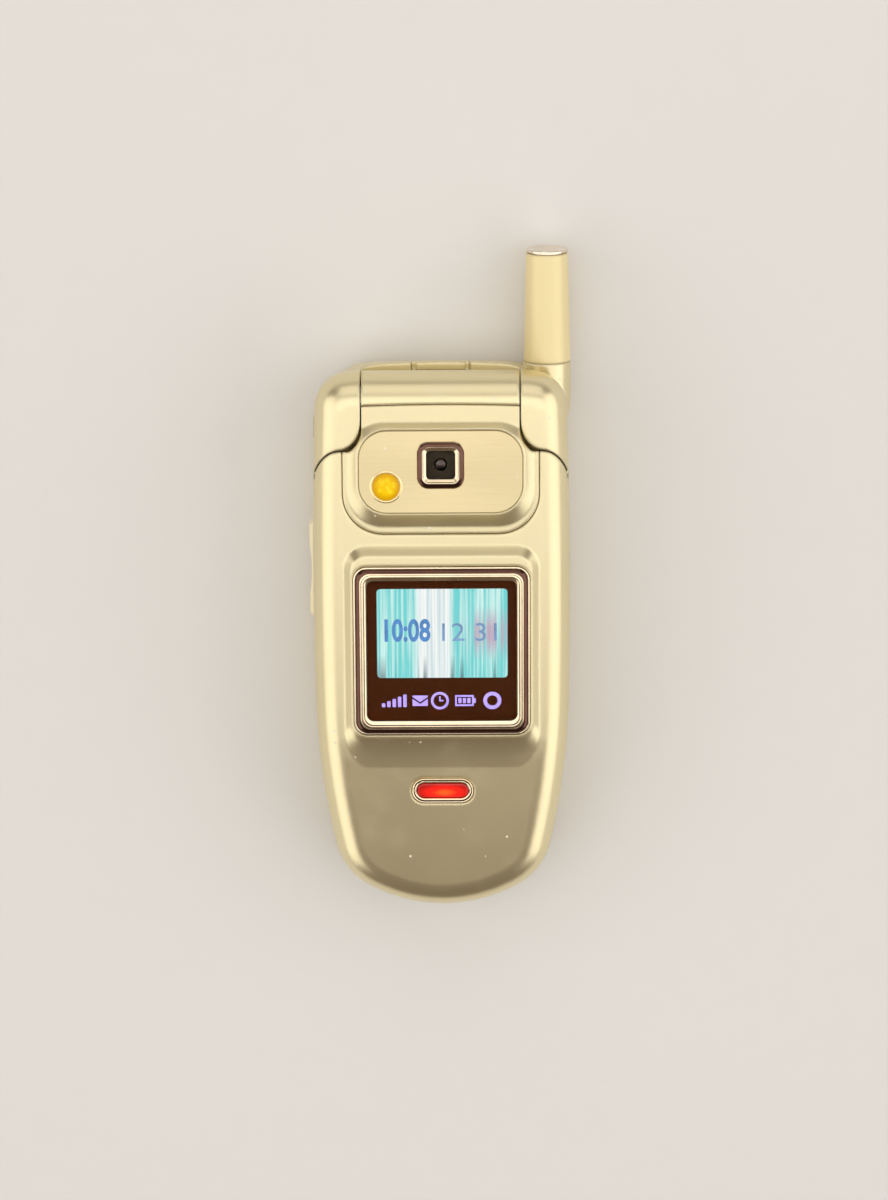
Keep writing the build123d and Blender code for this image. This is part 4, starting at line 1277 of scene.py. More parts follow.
def fit(piece: Object, body: Body | str, stands_for: Sequence[str] = ()) -> None:
    """Ride a piece on a body, and report it.

    Args:
        piece: The piece.
        body: The body, or a key body's own name.
        stands_for: The CAD nodes that it takes the place of.
    """
    carrier = body.value if isinstance(body, Body) else body
    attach(piece, carrier)
    if stands_for:
        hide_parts(*stands_for)
    log.info("fitted %s on %s", piece.name, carrier)


def dress(names: str, material: Material, nodes: Nodes) -> None:
    """Give CAD nodes a finish in their own slots.

    Args:
        names: The nodes, with spaces between them.
        material: The finish.
        nodes: The CAD nodes by name.
    """
    for name in names.split():
        for slot in nodes[name].material_slots:
            slot.material = material
        log.info("dressed %s in %s", name, material.name)


class Finishes:
    """All finishes of the phone, each built once."""

    def __init__(self) -> None:
        """Build every material."""
        self.paints()
        self.platings()
        self.plastics()
        self.inks()
        self.lights()

    def paints(self) -> None:
        """The painted and brushed metal."""
        antenna, inner, rocker = srgb(238, 222, 170), srgb(206, 198, 178), srgb(250, 238, 202)
        self.paint = SatinPaint().build()
        self.panel_paint = SatinPaint("camera_panel_paint", roughness=0.32).build()
        self.antenna_paint = SatinPaint(
            "antenna_paint", antenna, metallic=0.3, roughness=0.4
        ).build()
        self.inner_paint = SatinPaint("inner_face_paint", inner, roughness=0.4, wear=0.3).build()
        self.rocker = SatinPaint("rocker_paint", rocker, metallic=0.3, roughness=0.35).build()
        self.plate = BrushedPlate().build()

    def platings(self) -> None:
        """The chromes and bare metals."""
        self.smoky_chrome = Chrome("smoky_chrome", srgb(104, 74, 63), 0.13).build()
        # cream plating, also laid on the display frame's raised ring as a painted highlight
        self.cream_chrome_and_painted_highlight = Chrome("cream_chrome_and_painted_highlight", srgb(240, 222, 190), 0.2, 0.2).build()
        self.bright_chrome = Chrome("bright_chrome", srgb(228, 216, 198), 0.14).build()
        self.gilt = Chrome("gilt_rim", srgb(244, 222, 168), 0.26, 0.3).build()
        self.lens_coat = Chrome("coated_lens", srgb(84, 76, 74), 0.05, 0.0).build()
        self.key_metal = Chrome("ring_key_plating", srgb(206, 200, 186), 0.24, 0.3).build()
        self.steel = Chrome("tinned_steel", srgb(186, 184, 178), 0.3).build()
        self.whip = Chrome("nickel_whip", srgb(214, 212, 206), 0.16).build()

    def plastics(self) -> None:
        """The plastics, the rubber, the cloth and the board."""
        self.seam_shade = Moulded("seam_shade", srgb(52, 34, 22), 0.5, grain=0.05).build()
        self.inner = Moulded("inner_grey_plastic", srgb(92, 92, 94), 0.5).build()
        self.key = Moulded("key_plastic", srgb(198, 194, 182), 0.34, 6000.0, 0.08, 0.35).build()
        self.board = Moulded("board_green", srgb(38, 92, 62), 0.4, 3000.0, 0.1).build()
        rubber, cloth = srgb(196, 186, 160), srgb(24, 24, 25)
        self.rubber = Moulded("soft_rubber", rubber, 0.7, 4200.0, 0.3, sheen=0.2).build()
        self.cloth = Moulded(
            "speaker_cloth", cloth, 0.9, 5200.0, 0.6, sheen=0.3, wear=0.0
        ).build()

    def inks(self) -> None:
        """The printed borders, masks and legends, which no edge wear reaches."""
        border, mask = srgb(70, 32, 6), srgb(50, 43, 30)
        screen, dark = srgb(26, 28, 34), srgb(46, 46, 50)
        green, red = srgb(30, 132, 66), srgb(190, 34, 28)
        self.border = Moulded(
            "printed_border", border, 0.4, grain=0.03, wear=0.0, drift=0.45, specular=0.03
        ).build()
        self.lens_mask = Moulded(
            "lens_mask_black", mask, 0.35, grain=0.05, wear=0.0, specular=0.1
        ).build()
        self.off_screen = Moulded("unlit_screen", screen, 0.25, grain=0.02, wear=0.0).build()
        self.ink = Moulded("legend_ink", dark, 0.45, grain=0.05, wear=0.0).build()
        self.green_ink = Moulded("green_ink", green, 0.45, grain=0.05, wear=0.0).build()
        self.red_ink = Moulded("red_ink", red, 0.45, grain=0.05, wear=0.0).build()

    def lights(self) -> None:
        """The windows, the lit picture and its marks."""
        self.window = ClearWindow("clear_window").build()
        self.picture = StreakedPicture().build()
        self.picture_digits = Glow("picture_digits", srgb(58, 108, 164), 0.9).build()
        self.thin_digits = Glow("picture_thin_digits", srgb(92, 122, 162), 0.9).build()
        self.lilac = Glow("lilac_marks", srgb(160, 144, 236), 0.85).build()


@dataclass(frozen=True)
class ServiceMarks:
    """The row of plain printed marks under the lit picture."""

    low: float = 22.015
    high: float = 22.04
    along: float = -8.9
    bars_left: float = -10.4
    bar_count: int = 5
    bar_pitch: float = 0.95
    bar_width: float = 0.6
    bar_foot: float = -1.15
    shortest_bar: float = 0.7
    bar_growth: float = 0.4
    envelope_x: float = -3.9
    clock_x: float = -0.4
    clock_radii: Point = (1.6, 1.15)
    battery_x: float = 4.1
    battery_cells: int = 3
    cell_pitch: float = 0.8
    ring_x: float = 8.9
    ring_radii: Point = (1.6, 0.95)

    def bars(self) -> list[Outline]:
        """Rising bars.

        Returns:
            Their outlines.
        """
        outlines: list[Outline] = []
        for index in range(self.bar_count):
            tall = self.shortest_bar + self.bar_growth * index
            bar = rounded_rectangle(self.bar_width, tall, 0.12, 3)
            across = self.bars_left + self.bar_pitch * index
            outlines.append(moved(bar, across, self.bar_foot + tall / 2))
        return outlines

    def envelope(self) -> list[Outline]:
        """An envelope.

        Returns:
            The outlines of its flap and its pocket.
        """
        half, top = 1.35, 0.95
        flap = [(-half, 0.7), (0.0, -0.25), (half, 0.7), (half, top), (-half, top)]
        pocket = [(-half, 0.35), (0.0, -0.6), (half, 0.35), (half, -top), (-half, -top)]
        return [moved(outline, self.envelope_x, 0.0) for outline in (flap, pocket)]

    def clock(self) -> list[Outline]:
        """A clock.

        Returns:
            The outlines of its rim and of its two hands.
        """
        arm, tall, wide = 0.13, 0.8, 0.62
        hands = [(-arm, tall), (-arm, -arm), (wide, -arm), (wide, arm), (arm, arm), (arm, tall)]
        outlines = [circle(radius, 40) for radius in self.clock_radii] + [hands]
        return [moved(outline, self.clock_x, 0.0) for outline in outlines]

    def battery(self) -> list[Outline]:
        """A battery with a knob.

        Returns:
            The outlines of its shell, of its hollow and of the cells in that.
        """
        left, right, top, knob, knob_top = -1.8, 1.5, 1.0, 1.85, 0.45
        shell = [(left, top), (left, -top), (right, -top), (right, -knob_top)]
        shell += [(knob, -knob_top), (knob, knob_top), (right, knob_top), (right, top)]
        hollow = moved(rounded_rectangle(2.7, 1.4, 0.1, 2), (left + right) / 2, 0.0)
        outlines: list[Outline] = [shell, hollow]
        cell = rounded_rectangle(0.55, 0.95, 0.08, 2)
        for index in range(self.battery_cells):
            outlines.append(moved(cell, -0.95 + self.cell_pitch * index, 0.0))
        return [moved(outline, self.battery_x, 0.0) for outline in outlines]

    def ring(self) -> list[Outline]:
        """A plain ring, as its two edges."""
        return [moved(circle(radius, 40), self.ring_x, 0.0) for radius in self.ring_radii]

    def build(self, finishes: Finishes) -> None:
        """Print the row.

        Args:
            finishes: The phone's finishes.
        """
        outlines = self.bars() + self.envelope() + self.clock() + self.battery() + self.ring()
        row = [moved(outline, 0.0, self.along) for outline in outlines]
        marks = plate("service_marks", row, self.low, self.high, finishes.lilac)
        fit(marks, Body.LID)


@dataclass
class OuterDisplay:
    """The raised display: a stepped bezel, a window, a printed border and a lit picture."""

    centre: Point = (0.0, 0.2)
    border_low: float = 21.96
    border_high: float = 22.02
    glass_size: Point = (26.5, 25.3)
    glass_corner: float = 1.2
    glass_bevel: float = 0.04
    glass_low: float = 22.06
    glass_top: float = 22.2
    picture_size: Point = (23.1, 16.2)
    picture_corner: float = 0.7
    picture_lap: float = 0.2
    picture_centre: Point = (0.09, 3.38)
    picture_low: float = 21.86
    picture_high: float = 21.92
    marks: ServiceMarks = ServiceMarks()
    digit_rise: float = 0.01
    clock_face: Lettering = Lettering(height=4.0, thickness=0.02, weight=0.16, stretch=0.72)
    clock_place: Point = (-6.4, 3.7)
    date_face: Lettering = Lettering(height=3.4, thickness=0.02, weight=-0.01, stretch=1.1)
    date_place: Point = (4.9, 3.4)
    bands: tuple[Band, ...] = (
        Band(31.2, 30.6, 2.4, 21.3),
        Band(31.2, 30.6, 2.4, 22.3, 1),
        Band(31.1, 30.5, 2.37, 22.4, 1),
        Band(30.9, 30.3, 2.3, 22.45, 1),
        Band(30.6, 30.0, 2.2, 22.44, 2),
        Band(30.46, 29.86, 2.15, 22.38, 2),
        Band(30.34, 29.74, 2.1, 22.44, 0),
        Band(30.1, 29.5, 2.05, 22.64, 0),
        Band(29.7, 29.1, 1.95, 22.8, 0),
        # finish 1 on the raised ring's top: a painted highlight, cream standing for the lamps'
        # reflection in the smoky ring
        Band(28.94, 28.34, 1.82, 22.885, 1),
        Band(28.5, 27.9, 1.78, 22.9, 2),
        Band(28.3, 27.7, 1.72, 22.82, 1),
        Band(27.95, 27.35, 1.68, 22.87, 1),
        Band(27.65, 27.05, 1.62, 22.84, 1),
        Band(27.5, 26.9, 1.6, 22.7, 2),
        Band(27.42, 26.82, 1.6, 22.46, 1),
        Band(27.3, 26.3, 1.55, 22.38, 1),
        Band(26.8, 25.6, 1.35, 22.3, 2),
        Band(26.62, 25.42, 1.25, 22.18, 2),
        Band(26.62, 25.42, 1.25, 21.3, 2),
    )

    def bezel(self, finishes: Finishes) -> None:
        """The smoky frame with its bright lines: cream plating, and a painted highlight in cream
        on the raised ring's top.

        Args:
            finishes: The phone's finishes.
        """
        materials = [finishes.smoky_chrome, finishes.cream_chrome_and_painted_highlight, finishes.seam_shade]
        frame = banded_frame("display_frame", self.bands, self.centre, materials)
        fit(frame, Body.LID, ["display_bezel"])

    def screen(self, finishes: Finishes) -> None:
        """The window, the printed border behind it and the lit picture in its opening.

        Args:
            finishes: The phone's finishes.
        """
        rim = moved(rounded_rectangle(*self.glass_size, self.glass_corner), *self.centre)
        glass = plate(
            "display_glass",
            [rim],
            self.glass_low,
            self.glass_top,
            finishes.window,
            self.glass_bevel,
        )
        fit(glass, Body.LID, ["display_window"])
        width, length = self.picture_size
        corner, lap = self.picture_corner, self.picture_lap
        opening = moved(rounded_rectangle(width, length, corner), *self.picture_centre)
        border = plate(
            "display_border", [rim, opening], self.border_low, self.border_high, finishes.border
        )
        fit(border, Body.LID)
        lit = rounded_rectangle(width + 2 * lap, length + 2 * lap, corner + lap / 2)
        picture = plate(
            "display_picture",
            [moved(lit, *self.picture_centre)],
            self.picture_low,
            self.picture_high,
            finishes.picture,
        )
        fit(picture, Body.LID)

    def digits(self, finishes: Finishes) -> None:
        """The clock and the date on the picture.

        Args:
            finishes: The phone's finishes.
        """
        level = self.picture_high + self.digit_rise
        clock_place = Vector((*self.clock_place, level))
        date_place = Vector((*self.date_place, level))
        clock = self.clock_face.cut("picture_clock", "10:08", clock_place, finishes.picture_digits)
        fit(clock, Body.LID)
        date = self.date_face.cut("picture_date", "12 31", date_place, finishes.thin_digits)
        fit(date, Body.LID)

    def build(self, finishes: Finishes, nodes: Nodes) -> None:
        """Make the whole display.

        Args:
            finishes: The phone's finishes.
            nodes: The CAD nodes by name.
        """
        self.bezel(finishes)
        self.screen(finishes)
        self.digits(finishes)
        self.marks.build(finishes)
        dress("sub_display_module", finishes.inner, nodes)


@dataclass
class CameraPod:
    """The raised camera pod: brushed plate, lens in its bezel and the flash."""

    centre: Point = (0.0, 33.8)
    flash_centre: Point = (-9.6, 29.9)
    bands: tuple[Band, ...] = (
        Band(8.5, 8.5, 2.1, 22.2, 1),
        Band(8.5, 8.5, 2.1, 22.34, 1),
        Band(8.42, 8.42, 2.08, 22.46, 1),
        Band(8.24, 8.24, 2.02, 22.54, 2),
        Band(8.14, 8.14, 2.0, 22.5, 0),
        Band(8.0, 8.0, 1.95, 22.62, 0),
        Band(7.7, 7.7, 1.85, 22.72, 0),
        Band(7.2, 7.2, 1.6, 22.78, 0),
        Band(6.75, 6.75, 1.3, 22.8, 2),
        Band(6.62, 6.62, 1.2, 22.72, 1),
        Band(6.5, 6.5, 1.15, 22.77, 1),
        Band(6.3, 6.3, 1.05, 22.76, 1),
        Band(6.1, 6.1, 1.0, 22.66, 2),
        Band(6.04, 6.04, 0.95, 22.52, 1),
        Band(5.9, 5.9, 0.9, 22.46, 1),
        Band(5.3, 5.3, 0.75, 22.38, 1),
        Band(5.1, 5.1, 0.7, 22.26, 2),
        Band(5.1, 5.1, 0.7, 22.2, 2),
    )
    mask_width: float = 6.6
    mask_corner: float = 1.0
    mask_hole: float = 2.0
    mask_low: float = 21.81
    mask_high: float = 21.86
    lens_ring: tuple[Point, ...] = (
        (1.95, 21.81), (1.95, 21.87), (1.85, 21.89), (1.5, 21.84),
        (1.4, 21.87), (1.2, 21.83), (1.16, 21.5), (1.4, 21.5),
    )
    lens_dome: tuple[Point, ...] = (
        (0.0, 21.76), (0.4, 21.73), (0.75, 21.64), (1.0, 21.5),
        (1.12, 21.36), (1.12, 21.3), (0.0, 21.3),
    )
    flash_dome: tuple[Point, ...] = (
        (0.0, 22.64), (0.7, 22.62), (1.3, 22.56), (1.8, 22.46), (2.2, 22.34),
        (2.42, 22.24), (2.42, 22.21), (1.95, 22.21), (1.95, 21.9), (0.0, 21.9),
    )
    flash_rim: tuple[Point, ...] = (
        (2.9, 22.2), (2.9, 22.26), (2.82, 22.33), (2.66, 22.36),
        (2.52, 22.32), (2.47, 22.25), (2.47, 22.2),
    )

    def lens(self, finishes: Finishes) -> None:
        """The bezel, the mask behind its window, the ring round the lens and the lens itself.

        Args:
            finishes: The phone's finishes.
        """
        materials = [finishes.smoky_chrome, finishes.cream_chrome_and_painted_highlight, finishes.seam_shade]
        frame = banded_frame("camera_frame", self.bands, self.centre, materials)
        fit(frame, Body.LID, ["camera_bezel"])
        square = rounded_rectangle(self.mask_width, self.mask_width, self.mask_corner)
        rim = moved(square, *self.centre)
        hole = moved(circle(self.mask_hole), *self.centre)
        mask = plate("lens_mask", [rim, hole], self.mask_low, self.mask_high, finishes.lens_mask)
        fit(mask, Body.LID)
        ring = turned("lens_ring", self.lens_ring, self.centre, finishes.lens_mask, ring=True)
        fit(ring, Body.LID)
        dome = turned("lens_dome", self.lens_dome, self.centre, finishes.lens_coat)
        fit(dome, Body.LID)

    def flash(self, finishes: Finishes) -> None:
        """The amber dome and the thin gilt rim round it.

        Args:
            finishes: The phone's finishes.
        """
        amber = AmberLens("amber_lens", self.flash_centre).build()
        dome = turned("flash_dome", self.flash_dome, self.flash_centre, amber)
        fit(dome, Body.LID, ["flash_lens"])
        rim = turned("flash_rim", self.flash_rim, self.flash_centre, finishes.gilt, ring=True)
        fit(rim, Body.LID)

    def build(self, finishes: Finishes, nodes: Nodes) -> None:
        """Make the pod.

        Args:
            finishes: The phone's finishes.
            nodes: The CAD nodes by name.
        """
        self.lens(finishes)
        self.flash(finishes)
        dress("camera_panel", finishes.panel_paint, nodes)
        dress("camera_plate", finishes.plate, nodes)
        dress("camera_window", finishes.window, nodes)
        dress("camera_module", finishes.lens_mask, nodes)


@dataclass
class Indicator:
    """The message lamp near the lid's free end: a red lens in a double rim on a slope."""

    centre: Point = (0.0, -26.0)
    height: float = 20.24
    tilt: float = 4.0
    bands: tuple[Band, ...] = (
        Band(11.0, 4.6, 2.25, -0.5, 0),
        Band(11.0, 4.6, 2.25, 0.06, 0),
        Band(10.9, 4.5, 2.2, 0.15, 0),
        Band(10.7, 4.3, 2.1, 0.18, 0),
        Band(10.46, 4.06, 2.0, 0.13, 1),
        Band(10.36, 3.96, 1.95, 0.0, 1),
        Band(10.2, 3.8, 1.88, -0.02, 1),
        Band(10.1, 3.7, 1.84, 0.08, 0),
        Band(9.8, 3.4, 1.7, 0.16, 0),
        Band(9.4, 3.0, 1.5, 0.1, 0),
        Band(9.2, 2.8, 1.4, -0.05, 1),
        Band(9.2, 2.8, 1.4, -0.5, 1),
    )

    def build(self, finishes: Finishes, nodes: Nodes) -> None:
        """Make the rim on the slope and light the lens.

        Args:
            finishes: The phone's finishes.
            nodes: The CAD nodes by name.
        """
        materials = [finishes.cream_chrome_and_painted_highlight, finishes.seam_shade]
        rim = banded_frame("indicator_frame", self.bands, (0.0, 0.0), materials)
        slope = Matrix.Rotation(math.radians(self.tilt), 4, "X")
        rim.data.transform(Matrix.Translation(mm(*self.centre, self.height)) @ slope)
        fit(rim, Body.LID, ["indicator_rim"])
        dress("indicator_lens", LampLens("lamp_lens", self.centre).build(), nodes)


@dataclass
class InnerDisplay:
    """The large display on the lid's inner face, unlit, and the earpiece over it."""

    centre: Point = (0.0, 0.5)
    border_size: Point = (33.6, 45.6)
    border_corner: float = 1.8
    opening: Point = (28.8, 36.4)
    opening_corner: float = 0.6
    border_low: float = 13.98
    border_high: float = 14.05
    screen_low: float = 14.26
    screen_high: float = 14.34
    screen_size: Point = (29.6, 37.6)
    screen_corner: float = 0.5

    def build(self, finishes: Finishes, nodes: Nodes) -> None:
        """Make the border and the unlit screen behind the window.

        Args:
            finishes: The phone's finishes.
            nodes: The CAD nodes by name.
        """
        rim = moved(rounded_rectangle(*self.border_size, self.border_corner), *self.centre)
        opening = moved(rounded_rectangle(*self.opening, self.opening_corner), *self.centre)
        border = plate(
            "main_display_border",
            [rim, opening],
            self.border_low,
            self.border_high,
            finishes.seam_shade,
        )
        fit(border, Body.LID)
        outline = moved(rounded_rectangle(*self.screen_size, self.screen_corner), *self.centre)
        screen = plate(
            "main_display_screen",
            [outline],
            self.screen_low,
            self.screen_high,
            finishes.off_screen,
        )
        fit(screen, Body.LID)
        dress("main_display_window", finishes.window, nodes)
        dress("main_display_module earpiece_speaker", finishes.inner, nodes)
        dress("earpiece_grille", finishes.steel, nodes)
        dress("lid_circuit_board", finishes.board, nodes)


@dataclass(frozen=True)
class CrossHeadScrews:
    """A set of small screws whose heads have cross recesses and look out of the back."""

    name: str
    body: Body
    node: str
    places: tuple[Point, ...]
    head_radius: float
    shank_radius: float
    head_low: float
    head_high: float
    shank_high: float
    arm: float = 0.2
    reach_share: float = 0.58
    head_bevel: float = 0.08
    neck: float = 0.1
    tip: float = 0.3
    tip_share: float = 0.6

    def cross(self) -> list[Point]:
        """The outline of the recess.

        Returns:
            The points of the cross, about the origin.
        """
        reach, arm = self.head_radius * self.reach_share, self.arm
        quarter = [(reach, -arm), (reach, arm), (arm, arm)]
        outline: list[Point] = []
        for _ in range(4):
            outline += quarter
            quarter = [(-y, x) for x, y in quarter]
        return outline

    def build(self, finishes: Finishes) -> None:
        """Make every screw, joined into one piece.

        Args:
            finishes: The phone's finishes.
        """
        recess_top = (self.head_low + self.head_high) / 2
        profile = (
            (0.0, recess_top),
            (self.head_radius, recess_top),
            (self.head_radius, self.head_high),
            (self.shank_radius, self.head_high + self.neck),
            (self.shank_radius, self.shank_high - self.tip),
            (self.shank_radius * self.tip_share, self.shank_high),
            (0.0, self.shank_high),
        )
        outlines = [circle(self.head_radius, 40), self.cross()]
        steel = finishes.steel
        parts = []
        for place in self.places:
            head = [moved(outline, *place) for outline in outlines]
            parts.append(plate("head", head, self.head_low, recess_top, steel, self.head_bevel))
            parts.append(turned("shank", profile, place, steel))
        fit(joined(self.name, parts), self.body, [self.node])


class KeyMark(Enum):
    """Marks of the keys that carry no digit."""

    CALL = "send"
    HANG_UP = "end"
    BACK = "clear"


@dataclass
class Keypad:
    """Nineteen keys with their printed marks, over the rubber membrane."""

    top: float = 12.7
    column_pitch: float = 12.3
    row_pitch: float = 8.5
    first_row: float = -0.5
    side_key: Point = (15.2, 14.0)
    soft_key: Point = (15.2, 25.2)
    clear_y: float = 6.8
    ring_y: float = 19.5
    ring_mark_radius: float = 6.3
    print_rise: float = 0.02
    print_sink: float = 0.015
    star_drop: float = 0.7
    type_face: Lettering = Lettering(height=3.0, thickness=0.035, weight=0.02)
    digits: tuple[tuple[str, str], ...] = (
        ("1", "1"), ("2", "2"), ("3", "3"), ("4", "4"), ("5", "5"), ("6", "6"),
        ("7", "7"), ("8", "8"), ("9", "9"), ("star", "*"), ("0", "0"), ("hash", "#"),
    )

    def fit_print(self, key: str, outlines: Sequence[Outline], ink: Material) -> None:
        """Print outlines on one key."""
        low, high = self.top - self.print_sink, self.top + self.print_rise
        fit(plate(f"mark_{key}", outlines, low, high, ink), f"key_{key}_body")

    def handset(self, turn: float) -> list[Point]:
        """A plain handset outline.

        Args:
            turn: How far it is turned, in degrees.

        Returns:
            The outline, about the key's middle.
        """
        first, sweep, steps = 75, 130, 12
        back, grip, cup, drop = 1.7, 0.8, 1.05, 0.7
        outline: list[Point] = []
        for step in range(steps + 1):
            angle = math.radians(first + sweep - sweep * step / steps)
            outline.append((back * math.cos(angle), back * math.sin(angle) - drop))
        for step in range(steps + 1):
            angle = math.radians(first + sweep * step / steps)
            reach = cup if 3 < step < 9 else grip
            outline.append((reach * math.cos(angle), reach * math.sin(angle) - drop))
        return spun(outline, math.radians(turn))

    def digit_marks(self, finishes: Finishes) -> None:
        """Print the twelve number keys.

        Args:
            finishes: The phone's finishes.
        """
        level = self.top + (self.print_rise - self.print_sink) / 2
        for index, (key, text) in enumerate(self.digits):
            column, row = index % 3 - 1, index // 3
            drop = self.star_drop if text == "*" else 0.0
            along = self.first_row - self.row_pitch * row - drop
            place = Vector((self.column_pitch * column, along, level))
            mark = self.type_face.cut(f"mark_{key}", text, place, finishes.ink)
            fit(mark, f"key_{key}_body")

    def side_marks(self, finishes: Finishes) -> None:
        """Print the call, clear and soft keys.

        Args:
            finishes: The phone's finishes.
        """
        side_x, side_y = self.side_key
        call = [moved(self.handset(40), -side_x, side_y)]
        hang_up = [moved(self.handset(-10), side_x, side_y)]
        self.fit_print(KeyMark.CALL.value, call, finishes.green_ink)
        self.fit_print(KeyMark.HANG_UP.value, hang_up, finishes.red_ink)
        shaft = [(-0.3, 0.3), (1.5, 0.3), (1.5, -0.3), (-0.3, -0.3)]
        arrow = [(-1.5, 0.0), (-0.3, 0.8), *shaft, (-0.3, -0.8)]
        self.fit_print(KeyMark.BACK.value, [moved(arrow, 0.0, self.clear_y)], finishes.ink)
        dash = rounded_rectangle(2.6, 0.5, 0.2, 4)
        soft_x, soft_y = self.soft_key
        for key, side in (("soft_left", -1), ("soft_right", 1)):
            self.fit_print(key, [moved(dash, side * soft_x, soft_y)], finishes.ink)

    def ring_marks(self, finishes: Finishes) -> None:
        """Print the OK key's ring and the four arrows round it.

        Args:
            finishes: The phone's finishes.
        """
        rings = [moved(circle(radius, 32), 0.0, self.ring_y) for radius in (0.9, 0.6)]
        self.fit_print("ok", rings, finishes.ink)
        arrow = [(0.75, 0.0), (-0.45, 0.75), (-0.45, -0.75)]
        outward = moved(arrow, self.ring_mark_radius, 0.0)
        arrows = [moved(spun(outward, angle), 0.0, self.ring_y) for angle in turns(4)]
        self.fit_print("ring", arrows, finishes.ink)

    def build(self, finishes: Finishes, nodes: Nodes) -> None:
        """Dress the keys and print their marks.

        Args:
            finishes: The phone's finishes.
            nodes: The CAD nodes by name.
        """
        number_keys = " ".join(f"key_{key}" for key, _ in self.digits)
        dress(number_keys, finishes.key, nodes)
        dress("key_soft_left key_soft_right key_send key_end", finishes.key, nodes)
        dress("key_clear key_ok", finishes.key, nodes)
        dress("key_ring", finishes.key_metal, nodes)
        dress("keypad_membrane", finishes.rubber, nodes)
        self.digit_marks(finishes)
        self.side_marks(finishes)
        self.ring_marks(finishes)


@dataclass
class Lid:
    """The lid's covers, hinge knuckle, bumpers and screws."""

    screws: CrossHeadScrews = CrossHeadScrews(
        name="lid_screw_set",
        body=Body.LID,
        node="lid_screws",
        places=((18.9, 26.0), (-18.9, 26.0), (14.6, -36.0), (-14.6, -36.0)),
        head_radius=1.2,
        shank_radius=0.6,
        head_low=13.25,
        head_high=14.1,
        shank_high=17.7,
        arm=0.16,
    )

    def build(self, finishes: Finishes, nodes: Nodes) -> None:
        """Dress the covers and make the screws.

        Args:
            finishes: The phone's finishes.
            nodes: The CAD nodes by name.
        """
        shell = mirrored_shell("lid_shell", nodes["lid_front_cover"], finishes.paint)
        fit(shell, Body.LID, ["lid_front_cover"])
        dress("hinge_barrel", finishes.paint, nodes)
        dress("lid_inner_cover", finishes.inner_paint, nodes)
        dress("lid_bumpers", finishes.rubber, nodes)
        dress("hinge_cartridge", finishes.steel, nodes)
        dress("hinge_sleeve", finishes.inner, nodes)
        self.screws.build(finishes)


@dataclass
class Base:
    """The base's covers, battery, latch, flaps, sockets, loudspeaker and screws."""

    screws: CrossHeadScrews = CrossHeadScrews(
        name="base_screw_set",
        body=Body.BASE,
        node="base_screws",
        places=((12.5, 31.2), (-12.5, 31.2), (9.4, -40.4), (-9.4, -40.4)),
        head_radius=1.6,
        shank_radius=0.8,
        head_low=1.8,
        head_high=3.0,
        shank_high=10.7,
    )
    cloth_place: Point = (3.0, 39.0)
    cloth_strip: Point = (5.8, 0.8)
    cloth_corner: float = 0.35
    slot_pitch: float = 1.9
    slots: int = 4
    cloth_low: float = 1.0
    cloth_high: float = 1.1

    def cloth(self, finishes: Finishes) -> None:
        """Strips of cloth deep in the loudspeaker's slots.

        Args:
            finishes: The phone's finishes.
        """
        across, along = self.cloth_place
        strip = rounded_rectangle(*self.cloth_strip, self.cloth_corner, 4)
        first = along - self.slot_pitch * (self.slots - 1) / 2
        places = [first + self.slot_pitch * index for index in range(self.slots)]
        strips = [moved(strip, across, place) for place in places]
        piece = plate("loudspeaker_cloth", strips, self.cloth_low, self.cloth_high, finishes.cloth)
        fit(piece, Body.BASE)

    def build(self, finishes: Finishes, nodes: Nodes) -> None:
        """Dress the base and make its small pieces.

        Args:
            finishes: The phone's finishes.
            nodes: The CAD nodes by name.
        """
        dress("base_front_cover base_rear_cover service_plug", finishes.paint, nodes)
        dress("battery_pack battery_latch", finishes.paint, nodes)
        dress("volume_rocker", finishes.rocker, nodes)
        dress("io_cover earjack_cover", finishes.rubber, nodes)
        dress("earjack_socket io_connector loudspeaker", finishes.inner, nodes)
        dress("main_circuit_board", finishes.board, nodes)
        dress("shield_can", finishes.steel, nodes)
        self.screws.build(finishes)
        self.cloth(finishes)


class Antenna:
    """The antenna's painted sleeve, plated tip and whip."""

    def build(self, finishes: Finishes, nodes: Nodes) -> None:
        """Dress the antenna.

        Args:
            finishes: The phone's finishes.
            nodes: The CAD nodes by name.
        """
        dress("antenna_stub", finishes.antenna_paint, nodes)
        dress("antenna_tip", finishes.bright_chrome, nodes)
        dress("antenna_whip", finishes.whip, nodes)


# ---------------------------------------------------------------- studio
FACE_WATTS = 4.0  # a lamp's watts per square metre of its face, for a radiance of 1


@dataclass(frozen=True)
class SoftLamp:
    """A soft rectangular lamp, in metres, with the light that its face gives."""

    name: str
    place: tuple[float, float, float]
    size: tuple[float, float]
    radiance: float
    colour: Colour

    def build(self, target: Vector) -> None:
        """Hang the lamp, turned to a target.

        Args:
            target: The point that it looks at.
        """
        data = bpy.data.lights.new(self.name, "AREA")
        data.shape = "RECTANGLE"
        data.size, data.size_y = self.size
        data.energy = FACE_WATTS * data.size * data.size_y * self.radiance
        data.color = self.colour
        made = placed(self.name, data)
        made.location = self.place
        made.rotation_euler = (target - Vector(self.place)).to_track_quat("-Z", "Y").to_euler()


